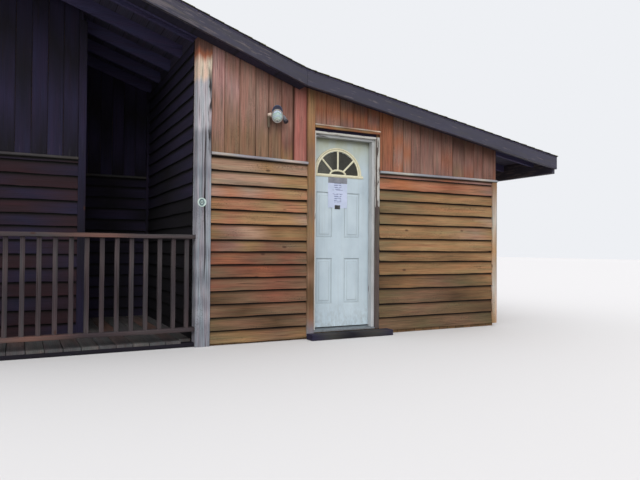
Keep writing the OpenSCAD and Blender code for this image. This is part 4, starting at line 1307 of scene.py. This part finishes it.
def door_leaf(d, low, high, centre, fan_z):
    """The leaf: a grid whose lines gather at the panels, pressed back where a vertex lies
    a given distance inside a panel's edge, with the fanlight's cells left out. Front and
    back are joined round every edge of what is left."""
    panel_h = (fan_z - low[2] - d.panel_gap - d.panel_foot - d.lock_rail) / 2
    middle = centre + d.panel_shift
    sides = [middle - d.panel_x - d.panel_w, middle + d.panel_x]
    feet = [low[2] + d.panel_foot, low[2] + d.panel_foot + panel_h + d.lock_rail]
    inset = np.array([0, 1.2, 3, 6, 9, 12, 16, 20, 26, 32, 36, 39, 43]) / 1000
    xs = np.concatenate([low[:1], high[:1], *[x + inset for x in sides],
                         *[x + d.panel_w - inset for x in sides],
                         centre + np.linspace(-d.fan_r, d.fan_r, 41)])
    zs = np.concatenate([low[2:], high[2:], *[z + inset for z in feet],
                         *[z + panel_h - inset for z in feet],
                         np.linspace(low[2] + 0.02, low[2] + d.panel_foot - 0.02, 6),
                         fan_z + np.linspace(0, d.fan_r, 21)])
    xs, zs = np.unique(xs.round(4)), np.unique(zs.round(4))
    x, z = np.meshgrid(xs, zs, indexing="ij")
    inside = np.full(x.shape, -1.0)
    for x0 in sides:
        for z0 in feet:
            edge = np.minimum(np.minimum(x - x0, x0 + d.panel_w - x),
                              np.minimum(z - z0, z0 + panel_h - z))
            inside = np.maximum(inside, edge)
    inside = inside * 1000
    moulding = d.groove * np.interp(inside, [-1, 0, 3, 9, 12, 16, 36, 39, 43],
                                    [0, 0, 0.3, 1, 1, 0.75, 0.45, 0.4, 0.05])
    grime = np.interp(inside, [-1, 0, 3, 9, 12, 18, 32, 36, 39, 43, 1000],
                      [0, 0.1, 0.6, 0.8, 0.6, 0.1, 0.1, 0.6, 0.7, 0.1, 0])
    mid_x, mid_z = (xs[1:] + xs[:-1]) / 2, (zs[1:] + zs[:-1]) / 2
    hole = np.hypot(mid_x[:, None] - centre, mid_z[None, :] - fan_z) < d.fan_r
    kept = ~(hole & (mid_z[None, :] > fan_z))
    front = np.stack([x, low[1] + moulding, z], -1).reshape(-1, 3)
    back = np.stack([x, high[1] - moulding, z], -1).reshape(-1, 3)
    a, b, c, e = grid_faces(np.arange(x.size).reshape(x.shape))
    face = np.stack([a, b, c, e], -1)[kept]
    quads = [face, face[:, ::-1] + x.size]
    padded = np.pad(kept, 1)
    edges = ((kept & ~padded[1:-1, :-2], a, b), (kept & ~padded[2:, 1:-1], b, c),
             (kept & ~padded[1:-1, 2:], c, e), (kept & ~padded[:-2, 1:-1], e, a))
    for mask, first, second in edges:
        p, q = first[mask], second[mask]
        quads.append(np.stack([q, p, p + x.size, q + x.size], -1))
    points = np.concatenate([front, back])
    stock = Stock()
    stock.add(points, np.concatenate(quads), [], points,
              np.array(tint("silver")[:3]), np.tile(grime.ravel(), 2))
    stock.make("door_leaf", "enamelled_pressed_steel", "door_steel", "door_slab",
               body="door", angle=30)


def fanlight(d, low, high, centre, fan_z):
    """The cream plastic frame on both faces of the leaf, and the lattice glass. The ring
    runs from the window's edge to its own, which have centres of different heights; the
    hub is half an ellipse; the bars run from the hub's feet out to the ring."""
    ring = plan_box("fanlight_frame")
    proud = low[1] - ring[0][1]
    outer, inner = ring[1][2] - fan_z, d.fan_r - d.fan_lip
    foot = fan_z + d.fan_raise
    stock = Stock()
    wide = np.array([0, 0, 0.07, 0.16, 0.26, 0.38, 0.46, 0.56, 0.64, 0.76, 0.88, 0.96, 1,
                     1])
    rise = np.array([0, 0.45, 0.7, 0.75, 0.7, 0.4, 0.3, 0.45, 0.85, 1.0, 0.95, 0.75, 0.4,
                     0])
    shade = np.array([0.5, 0.8, 1.05, 1.1, 1.05, 0.85, 0.8, 0.85, 1, 1.02, 0.9, 0.7, 0.6,
                      0.5])
    beads = np.column_stack([wide, rise])
    half = d.spoke_w / 2
    for face, outward, height in ((low[1], -1, proud), (high[1], 1, proud * 0.7)):
        def level(a, c, o):
            return centre + a, face + outward * o, foot + c

        def arc(a, c, o):
            reach = inner + (outer - inner) * c
            return level(reach * np.cos(a), reach * np.sin(a) - d.fan_raise * c, o)

        def oval(a, c, o):
            return level((d.hub_w - c) * np.cos(a), (d.hub_h - c) * np.sin(a), o)

        carry(stock, beads * (1, height), arc, (0, math.pi), 49, "butter", 61, dim=shade)
        carry(stock, bar_section(0, d.spoke_w, height * 0.75), oval,
              (0.02, math.pi - 0.02), 25, "butter", 62)
        reach = (ring[1][0] - ring[0][0]) / 2
        carry(stock, bar_section(ring[0][2] - foot, 0, height), level, (-reach, reach),
              30, "butter", 63)
        for side in (-1, 0, 1):
            root = side * 0.035
            line = np.array([side, 1.0]) / math.hypot(side, 1)
            dot = root * line[0]
            tip = -dot + math.sqrt(dot ** 2 + (inner + 0.002) ** 2 - root ** 2)

            def spoke(a, c, o):
                return level(root + a * line[0] - c * line[1], a * line[1] + c * line[0], o)

            start = d.hub_h - half if side == 0 else 0.046
            carry(stock, bar_section(-half, half, height * 0.75), spoke, (start, tip), 9,
                  "butter", 64)
    stock.make("fanlight_bars", "chalked_cream_plastic", "fanlight_plastic",
               "fanlight_frame", body="door")
    glass_low, glass_high = plan_box("fanlight_glass")
    play, count = 0.001, 60
    angle = np.linspace(0.03, math.pi - 0.03, count)
    top, foot = fan_z + (d.fan_r - play) * np.sin(angle), np.full(count, fan_z + play)
    x = centre + (d.fan_r - play) * np.cos(angle)
    corners = [np.column_stack([x, np.full(count, y), z]) for y, z in (
        (glass_low[1], top), (glass_low[1], foot), (glass_high[1], foot), (glass_high[1], top))]
    points = np.stack(corners, 1).reshape(-1, 3)
    quads, caps = loop_faces(count, 4)
    pane = Stock()
    pane.add(points, quads, caps, points, np.array([0.05, 0.05, 0.05]), 0.0)
    pane.make("fanlight_pane", "lattice_pressed_glass", "door_glass", "fanlight_glass",
              body="door")


def notice(strip_top):
    """A blank sheet held by a grey strip along its top and a dark one near its foot, its
    lower corners lifting a little."""
    low, high = plan_box("door_notice")
    front = high[1]
    u, v = np.meshgrid(np.linspace(0, 1, 25), np.linspace(0, 1, 29), indexing="ij")
    lift = 0.0016 * (1 + wander(71, u * 5, v * 6)) * smooth(0.95, 0.2, v)
    sheet = np.stack([low[0] + u * (high[0] - low[0]), front - 0.0004 - lift.clip(0, 0.0024),
                      low[2] + v * (high[2] - low[2])], -1).reshape(-1, 3)
    behind = sheet + np.array([0, 0.0003, 0])
    number = np.arange(u.size).reshape(u.shape)
    quads = np.stack(grid_faces(number), -1).reshape(-1, 4)
    rim = np.concatenate([number[:, 0], number[-1, 1:], number[-2::-1, -1],
                          number[0, -2:0:-1]])
    following = np.roll(rim, -1)
    side = np.stack([following, rim, rim + u.size, following + u.size], -1)
    stock = Stock()
    points = np.concatenate([sheet, behind])
    stock.add(points, np.concatenate([quads, quads[:, ::-1] + u.size, side]), [], points,
              np.array(tint("silver")[:3]), 0.0)
    stock.make("notice_sheet", "sunned_copier_paper", "notice_paper", "door_notice",
               body="door")
    strip = Stock()
    timber(strip, (low[0] + 0.002, front - 0.0025, high[2] - 0.001),
           (high[0] - 0.002, front, strip_top - 0.001), "X",
           "ash slate ash slate ash", 72, radius=0.0008, wave=0.0002, step=0.01)
    middle = (low[0] + high[0]) / 2 - 0.003
    timber(strip, (middle - 0.033, front - 0.0034, low[2] - 0.014),
           (middle + 0.033, front - 0.0012, low[2] + 0.029), "X",
           "char soot char felt", 73, radius=0.0008, wave=0.0002, step=0.006)
    strip.make("notice_strips", "grey_adhesive_strip", "notice_paper", body="door")


class OUTHOUSE_OT_door(bpy.types.Operator):
    """Adds the pressed steel door leaf with its fanlight, notice and furniture"""
    bl_idname = "outhouse.door"
    bl_label = "Door Leaf"

    def execute(self, context):
        d = sizes("door")
        low, high = plan_box("door_slab")
        centre = (low[0] + high[0]) / 2
        fan_z = plan_box("fanlight_glass")[0][2]
        door_leaf(d, low, high, centre, fan_z)
        fanlight(d, low, high, centre, fan_z)
        notice(fan_z + d.fan_raise - 0.031)
        dress("tarnished_brass", "door_knobs")
        dress("zinc_plated_steel", "door_hinges")
        return {"FINISHED"}


def bar_section(low, high, height):
    """A half-round bar: flat on the leaf, with a bead between two small quirks."""
    wide = high - low
    u = np.array([0, 0.0, 0.08, 0.16, 0.3, 0.5, 0.7, 0.84, 0.92, 1.0, 1.0])
    v = np.array([0, 0.35, 0.5, 0.55, 0.9, 1.0, 0.9, 0.55, 0.5, 0.35, 0])
    return np.column_stack([low + u * wide, v * height])


def shingles():
    """Courses of tabs from the low eave up to the high edge. A tab's section runs from a
    thick lower edge back under the next course, and is carried across the roof."""
    r = sizes("roof")
    low, high = plan_box("roofing")
    stock = Stock()
    rng = np.random.default_rng(81)

    def place(a, c, o):
        return c, a, roof_top(c) - o

    felt_top, felt_foot, inset, least = 0.0098, 0.0137, 0.004, 0.02
    xs = np.linspace(low[0] + inset, high[0] - inset, 60)
    top = np.column_stack([xs, np.full(60, felt_top)])
    foot = np.column_stack([xs[::-1], np.full(60, felt_foot)])
    carry(stock, np.concatenate([top, foot]), place, (low[1] + inset, high[1] - inset), 3,
          "felt", 82)
    thick, course, butt = r.shingle_t, 0, high[0]
    while butt > low[0] + 0.03:
        head = max(butt - r.course - 0.035, low[0])
        lap = butt - head
        edge = low[1] - (course % 2) * r.tab / 2 - rng.uniform(0, 0.02)
        while edge < high[1] - inset:
            start, stop = max(edge, low[1]), min(edge + r.tab - 0.005, high[1])
            edge += r.tab
            if stop - start < least:
                continue
            sag = rng.uniform(0, 0.0018)
            section = np.array([
                [head, 0.0085], [head + lap * 0.5, 0.0048 + sag / 2],
                [butt - 0.012, 0.0012 + sag], [butt - 0.003, 0.0008 + sag],
                [butt, 0.0024 + sag], [butt - 0.001, 0.0018 + thick + sag],
                [butt - 0.012, 0.0014 + thick + sag], [head, 0.0095]])
            tone = ("felt", "slab", "pebble", "char", "slab felt", "char slab")
            seed = int(rng.integers(1, 9000))

            def relief(along, across, out, worn):
                near = smooth(butt - 0.08, butt, across)
                out = out + 0.0012 * near * (1 + wander(seed, along * 22)) / 2
                across = across - 0.003 * near * (1 + wander(seed + 1, along * 15)) / 2
                verge = smooth(0.25, 0.0, np.minimum(along - low[1], high[1] - along))
                return across, out, worn + near * 0.6 + verge * 0.7

            carry(stock, section, place, (start, stop), 6,
                  tone[rng.integers(len(tone))], seed, relief)
        butt -= r.course * 0.972
        course += 1
    stock.make("shingle_courses", "mineral_asphalt_shingle", "shingle", "roofing")


def barge_boards():
    """Barge and eave boards: sawn boards that follow the roof, flaking slate paint."""
    r = sizes("roof")
    deck = r.deck_depth
    for part, seed in (("upper", 91), ("lower", 92), ("back", 93)):
        low, high = plan_box("barge_board_" + part)
        foot = float(roof_top(high[0])) - low[2]
        stock = Stock()
        profile = rounded(deck, foot, -high[1], -low[1], 0.004, 0.02)

        def place(a, c, o):
            return a, -o, roof_top(a) - c

        def relief(along, across, out, worn):
            lower = smooth(deck, foot, across)
            across = across - lower * 0.004 * (1 + wander(seed, along * 3.2)) / 2
            out = out - 0.0015 * (1 + wander(seed + 1, along * 2.4, across * 8)) / 2
            worn = worn + smooth(1.2, -1.6, along) * 0.8 + lower * 0.2
            return across, out, worn

        carry(stock, profile, place, (low[0], high[0]), int((high[0] - low[0]) / 0.04),
              "slate", seed, relief)
        stock.make("barge_" + part, "flaking_slate_paint", "barge_wood",
                   "barge_board_" + part)
    low, high = plan_box("eave_boards")
    barge = plan_box("barge_board_lower")
    thick = barge[1][1] - barge[0][1]
    stock = Stock()
    right_h = float(roof_top(high[0])) - deck - low[2]
    left_h = float(roof_top(barge[1][0])) - deck - barge[0][2]
    for x0, x1, tall, seed in ((high[0] - thick, high[0], right_h, 95),
                               (low[0], low[0] + thick, left_h, 96)):
        top = roof_top(np.array([x0, x1])) - deck
        section = eased([(x1, top[1]), (x0, top[0]), (x0, top[0] - tall),
                         (x1, top[1] - tall)], 0.004, 0.02)
        carry(stock, section, lambda a, c, o: (c, a, o), (low[1], high[1]), 60, "slate",
              seed, rough_sawn(seed, 0.0012), wear=0.3)
    stock.make("eave_board_pair", "flaking_slate_paint", "barge_wood", "eave_boards")


class OUTHOUSE_OT_roof(bpy.types.Operator):
    """Adds the shingle courses, the barge boards and the roof timbers' finishes"""
    bl_idname = "outhouse.roof"
    bl_label = "Roof"

    def execute(self, context):
        shingles()
        barge_boards()
        dress("dark_stained_soffit", "front_soffit")
        dress("roof_boards", "roof_deck")
        dress("rough_sawn_rafters", "rafters_upper", "rafters_lower")
        dress("rough_sawn_blocks", "rafter_blocks", "break_beam")
        return {"FINISHED"}


def porch_boards():
    """The porch deck: boards laid front to back over a bed, a finger's gap apart."""
    low, high = plan_box("porch_floor")
    posts = plan_box("corner_post"), plan_box("porch_post")
    stock = Stock()
    top, thick = high[2], 0.026
    timber(stock, low, (high[0], high[1], top - thick), "X", "soot soot", 111, step=0.4,
           spacing=0.4)
    width, gap = 0.14, 0.006
    count = int((high[0] - low[0]) / width)
    pitch = (high[0] - low[0]) / count
    for k in range(count):
        x0, x1 = low[0] + k * pitch + gap / 2, low[0] + (k + 1) * pitch - gap / 2
        front = low[1]
        for post_low, post_high in posts:
            if x1 > post_low[0] and x0 < post_high[0]:
                front = post_high[1] + 0.001
        timber(stock, (x0, front, top - thick), (x1, high[1], top), "Y",
               ("slab dusk pebble", "pebble slab pebble", "slab pebble moor")[k % 3],
               112 + k, step=0.12)
    stock.make("porch_boards", "trodden_porch_boards", "floor_wood", "porch_floor")


class OUTHOUSE_OT_floors(bpy.types.Operator):
    """Adds the porch boards, the doorstep and the finishes of floors and walls"""
    bl_idname = "outhouse.floors"
    bl_label = "Floors and Walls"

    def execute(self, context):
        low, high = plan_box("doorstep")
        step = Stock()
        timber(step, low, high, "X", "night char soot char night", 101, radius=0.006, step=0.03,
               wave=0.002)
        step.make("charcoal_doorstep", "blackened_step_wood", "dark_step_wood", "doorstep")
        porch_boards()
        dress("room_floor_boards", "room_floor")
        dress("bare_wall_lining", "front_wall_left", "front_wall_right", "back_wall",
              "porch_back_wall", "wing_front_wall", "wing_back_wall")
        dress("bare_side_lining", "left_wall", "right_wall", "wing_side_wall", "wing_end_wall")
        dress("shadowed_frame_wood", "front_wall_over_door")
        return {"FINISHED"}


class OUTHOUSE_OT_railing(bpy.types.Operator):
    """Adds the porch railing, each rail and baluster a sawn timber"""
    bl_idname = "outhouse.railing"
    bl_label = "Porch Railing"

    def execute(self, context):
        low, high = plan_box("porch_railing")
        mid = (low[1] + high[1]) / 2
        stock = Stock()
        thick, half = 0.038, 0.019
        timber(stock, (low[0], low[1], high[2] - thick), high, "X",
               "moor peat moor dusk moor moor", 121, radius=0.006, step=0.03, wave=0.0015)
        timber(stock, low, (high[0], high[1], low[2] + thick), "X",
               "peat moor dusk peat moor peat", 122, radius=0.005, step=0.03, wave=0.0015)
        apart, first, let_in = 0.125, 0.053, 0.002
        k = 1
        while first - k * apart - half > low[0] + thick:
            x = first - k * apart
            timber(stock, (x - half, mid - half, low[2] + thick - let_in),
                   (x + half, mid + half, high[2] - thick + let_in), "Z",
                   "moor peat peat moor peat", 130 + k, radius=0.004, step=0.04, wave=0.0012)
            k += 1
        stock.make("railing_timbers", "dark_stained_railing_wood", "post_wood",
                   "porch_railing")
        return {"FINISHED"}


def spun(stock, outline, place, tones, seed, around=48, facets=0, press=0.0, dim=1.0,
         chevron=False):
    """A turned form: an outline of radii and heights in mm carried round its axis, with facets
    pressed into it as a wave round the ring; place is a 4 by 4 matrix to plan metres. The
    tones run along the outline, or down across the form in chevrons."""
    outline = np.asarray(outline, float) / 1000
    angle = np.linspace(0, TAU, around, endpoint=False)
    reach = outline[:, :1] * (1 - press * (1 + np.cos(facets * angle)) / 2)
    local = np.stack([reach * np.cos(angle), reach * np.sin(angle),
                      outline[:, 1:] * np.ones(around), np.ones(reach.shape)], -1)
    points = (local.reshape(-1, 4) @ place.T)[:, :3]
    quads, caps = loop_faces(len(outline), around)
    share = np.linspace(0, 1, len(outline))[:, None] * np.ones(around)
    if chevron:
        down = -local[..., 1] - 0.5 * np.abs(local[..., 0])
        share = 0.5 + 0.5 * down / outline[:, 0].max()
    tone = tone_run(tones, share + 0.08 * wander(seed, share * 4, np.cos(angle) * 3))
    tone = tone * np.broadcast_to(dim, share.T.shape).T[..., None]
    stock.add(points, quads, caps, points, tone.reshape(-1, 3), 0.0)


def turn_to(at, *turns):
    """A matrix that turns about X, Y, then Z by degrees and moves to a plan point."""
    spins = [Matrix.Rotation(math.radians(a), 4, axis) for a, axis in zip(turns, "XYZ")]
    return np.array(Matrix.Translation(Vector(at)) @ spins[2] @ spins[1] @ spins[0])


class OUTHOUSE_OT_lamp(bpy.types.Operator):
    """Adds the wall lamp and the small disc on the corner post"""
    bl_idname = "outhouse.lamp"
    bl_label = "Lamp and Disc"

    def execute(self, context):
        lamp = sizes("lamp")
        x, z = lamp.at_x, lamp.at_z
        tilt, turn = math.degrees(lamp.tilt), math.degrees(lamp.turn)
        head = turn_to((x, -lamp.out, z), 90 + tilt, 0, turn) @ np.diag([0.93, 1.1, 1, 1])
        body = Stock()
        plate = turn_to((x + 0.022, 0, z + 0.018), 90, 0, 0)
        spun(body, [(2, 0), (45, 0), (45, 4), (42, 9), (34, 13), (2, 14)], plate,
             "ash umber ash umber ash umber", 151)
        spun(body, [(2, 10), (19, 12), (14, 22), (13, 45), (20, 52), (2, 57)], plate,
             "char umber char", 152, 32)
        back, r, h = (1000 * length for length in (-lamp.bell_l, lamp.lens_r, lamp.hood_r))
        spun(body, [(2, back), (28, back), (34, back + 12), (48, -34), (58, -14), (r, -4),
                    (r, 4), (r - 4, 7), (r * 0.84, 6), (r * 0.81, 2), (2, 1)], head,
             "char moss olive moss olive ash bone bone ash olive char", 153, dim=0.85)
        lift = np.array(Matrix.Translation((0, lamp.hood_up, 0)))
        spun(body, [(2, back), (h - 14, back), (h - 4, back + 6), (h, back + 16), (h, -14),
                    (h - 2, -6), (h - 6, -4), (h - 10, -8), (2, -10)], head @ lift,
             "umber umber ash navy navy navy navy night night", 154, 56)
        nub = head @ turn_to((-0.106, 0.010, lamp.bell_l * -0.3), 0, 90, 0)
        spun(body, [(2, 0), (9, 2), (13, 8), (19, 30), (21, 40), (18, 46), (14, 50), (14, 90),
                    (2, 91)], nub, "bone cream cream cream bone olive moss char", 155, 28)
        stem = turn_to((x - 0.073, -0.050, z - 0.112), 0, 0, 0)
        spun(body, [(2, 0), (12, 2), (14, 10), (14, 85), (18, 92), (18, 108), (2, 110)], stem,
             "moss bark moss bark moss bark", 149, 24, dim=0.7)
        can = turn_to((x + 0.080, -0.052, z + 0.021), 150, -16, 0)
        spun(body, [(2, 0), (14, 1), (17, 6), (19, 30), (22, 60), (24, 70), (24, 84), (20, 88),
                    (2, 82)], can, "ash ash slate ash char night soot soot", 156, 32)
        arm = turn_to((x + 0.022, -0.044, z + 0.018), 0, 98, 0)
        spun(body, [(2, 0), (13, 1), (13, 30), (10.5, 34), (10.5, 46), (13, 50), (13, 77),
                    (2, 78)], arm, "char soot char soot", 157, 24)
        body.make("lamp_body", "weathered_lamp_enamel", "lamp_paint", "wall_lamp")
        lens = Stock()
        radii = np.linspace(1, 0, 25)
        ripple = 1.1 * np.cos(radii * 8 * TAU)
        dome = np.interp(radii, [0, 0.4, 0.8, 1], [26, 24, 16, 3]) + ripple
        outline = np.column_stack([np.clip(radii * r * 0.82, 1.2, None), np.minimum(dome, 26)])
        spun(lens, np.vstack([[1.2, 0.5], [r * 0.8, 0.5], outline]), head,
             "sheet mist mist frost mist sheet mist frost mist bone frost bone ash", 158, 72,
             12, 0.03, chevron=True)
        lens.make("lamp_lens", "ribbed_frosted_lens", "lamp_paint")
        low, high = plan_box("post_disc")
        wide = (high[0] - low[0]) * 500
        disc = Stock()
        spun(disc, [(1, 0), (wide, 0), (wide, 1.2), (wide - 2, 2), (wide - 9, 2),
                    (wide - 13, 0.6), (20, 0.5), (17, 1.6), (10, 1.8), (6, 0.8), (1, 0.8)],
             turn_to(((low[0] + high[0]) / 2, high[1], (low[2] + high[2]) / 2), 90, 0, 0),
             "mist frost frost frost frost mist char soot mist frost char soot", 159, 60)
        disc.make("post_disc_cap", "pale_disc_plastic", "disc_plastic", "post_disc")
        return {"FINISHED"}


def studio_floor():
    """A wide plain floor: mid grey in the light it throws back, pale where it is seen."""
    mesh = bpy.data.meshes.new("studio_floor")
    side = 60.0
    mesh.from_pydata([(-side, -side, 0), (side, -side, 0), (side, side, 0),
                      (-side, side, 0)], [], [(0, 1, 2, 3)])
    pale, node, shader = finish_start("pale_studio_floor", Roughness=0.9,
                                      Specular_IOR_Level=0.1)
    whitened = node("Mix RGBA", in_view(node), linear("#8d8b86"), linear("#dddcda"))
    pale.node_tree.links.new(whitened, shader.inputs["Base Color"])
    mesh.materials.append(pale)
    floor = bpy.data.objects.new("studio_floor", mesh)
    bpy.context.scene.collection.objects.link(floor)


def in_view(node):
    """1 where the camera sees a surface, by itself, in a mirror or through glass."""
    path = node("LightPath").node.outputs
    return node("Math MAXIMUM", path["Is Camera Ray"],
                node("Math MAXIMUM", path["Is Glossy Ray"], path["Is Transmission Ray"]))


def studio_light():
    """An even sky at a plain level, seen as pale by the camera, and one soft key."""
    world = bpy.data.worlds.new("studio_sky")
    bpy.context.scene.world = world
    world.use_nodes = True
    tree = world.node_tree
    tree.nodes.clear()
    node = partial(add, tree)
    sky = node("Background", {"Color": linear("#fafaff"), "Strength": 1.12})
    pale = node("Background", {"Color": linear("#eef0f4"), "Strength": 1.0})
    node("OutputWorld", node("MixShader", in_view(node), sky, pale))
    sun = bpy.data.lights.new("soft_key", "SUN")
    sun.energy = 1.2
    sun.angle = math.radians(40)
    lamp = bpy.data.objects.new("soft_key", sun)
    lamp.rotation_euler = (math.radians(58), 0, math.radians(-30))
    bpy.context.scene.collection.objects.link(lamp)


def photo_camera(context):
    """The photograph's camera: its place, its turn, and its focal length in pixels."""
    focal_px, frame_px = 577.6, 640
    place = np.array([-1.470, -5.356, 0.927]) + ORIGIN
    yaw, pitch, roll = (math.radians(a) for a in (27.49, 0.92, 0.42))
    data = bpy.data.cameras.new("photo_camera")
    data.sensor_width = 36.0
    data.lens = focal_px / frame_px * data.sensor_width
    camera = bpy.data.objects.new("photo_camera", data)
    turn = (Matrix.Rotation(-yaw, 3, "Z") @ Matrix.Rotation(math.pi / 2 + pitch, 3, "X")
            @ Matrix.Rotation(roll, 3, "Z"))
    camera.matrix_world = Matrix.Translation(Vector(place)) @ turn.to_4x4()
    context.scene.collection.objects.link(camera)
    context.scene.camera = camera


class OUTHOUSE_OT_stage(bpy.types.Operator):
    """Adds the pale floor, the studio light and the camera at the photograph's angle"""
    bl_idname = "outhouse.stage"
    bl_label = "Stage"

    def execute(self, context):
        studio_floor()
        studio_light()
        photo_camera(context)
        context.scene.view_settings.view_transform = "Standard"
        return {"FINISHED"}


class OUTHOUSE_PT_panel(bpy.types.Panel):
    """Lists the outhouse's sizes and its pieces"""
    bl_label = "Outhouse"
    bl_idname = "OUTHOUSE_PT_panel"
    bl_space_type = "VIEW_3D"
    bl_region_type = "UI"
    bl_category = "Outhouse"

    def draw(self, context):
        layout = self.layout
        for group in (getattr(context.scene, name) for name in GROUPS):
            box = layout.box()
            for key in group.bl_rna.properties.keys():
                if key not in ("rna_type", "name"):
                    box.prop(group, key)
        for operator in OPERATORS:
            layout.operator(operator.bl_idname)


OPERATORS = (OUTHOUSE_OT_stage, OUTHOUSE_OT_lap_boards, OUTHOUSE_OT_vertical_boards,
             OUTHOUSE_OT_posts, OUTHOUSE_OT_trim, OUTHOUSE_OT_door, OUTHOUSE_OT_roof,
             OUTHOUSE_OT_floors, OUTHOUSE_OT_railing, OUTHOUSE_OT_lamp)
GROUPS = {"outhouse_roof": RoofSizes, "outhouse_cladding": CladdingSizes,
          "outhouse_door": DoorSizes, "outhouse_lamp": LampSizes,
          "outhouse_tones": BoardTones}


def register():
    for kind in (*GROUPS.values(), *OPERATORS, OUTHOUSE_PT_panel):
        bpy.utils.register_class(kind)
    for name, kind in GROUPS.items():
        setattr(bpy.types.Scene, name, bpy.props.PointerProperty(type=kind))


def unregister():
    for name in GROUPS:
        delattr(bpy.types.Scene, name)
    for kind in reversed((*GROUPS.values(), *OPERATORS, OUTHOUSE_PT_panel)):
        bpy.utils.unregister_class(kind)


def main():
    """Registers the add-on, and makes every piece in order."""
    register()
    for operator in OPERATORS:
        group, name = operator.bl_idname.split(".")
        getattr(getattr(bpy.ops, group), name)()


if __name__ == "__main__":
    main()
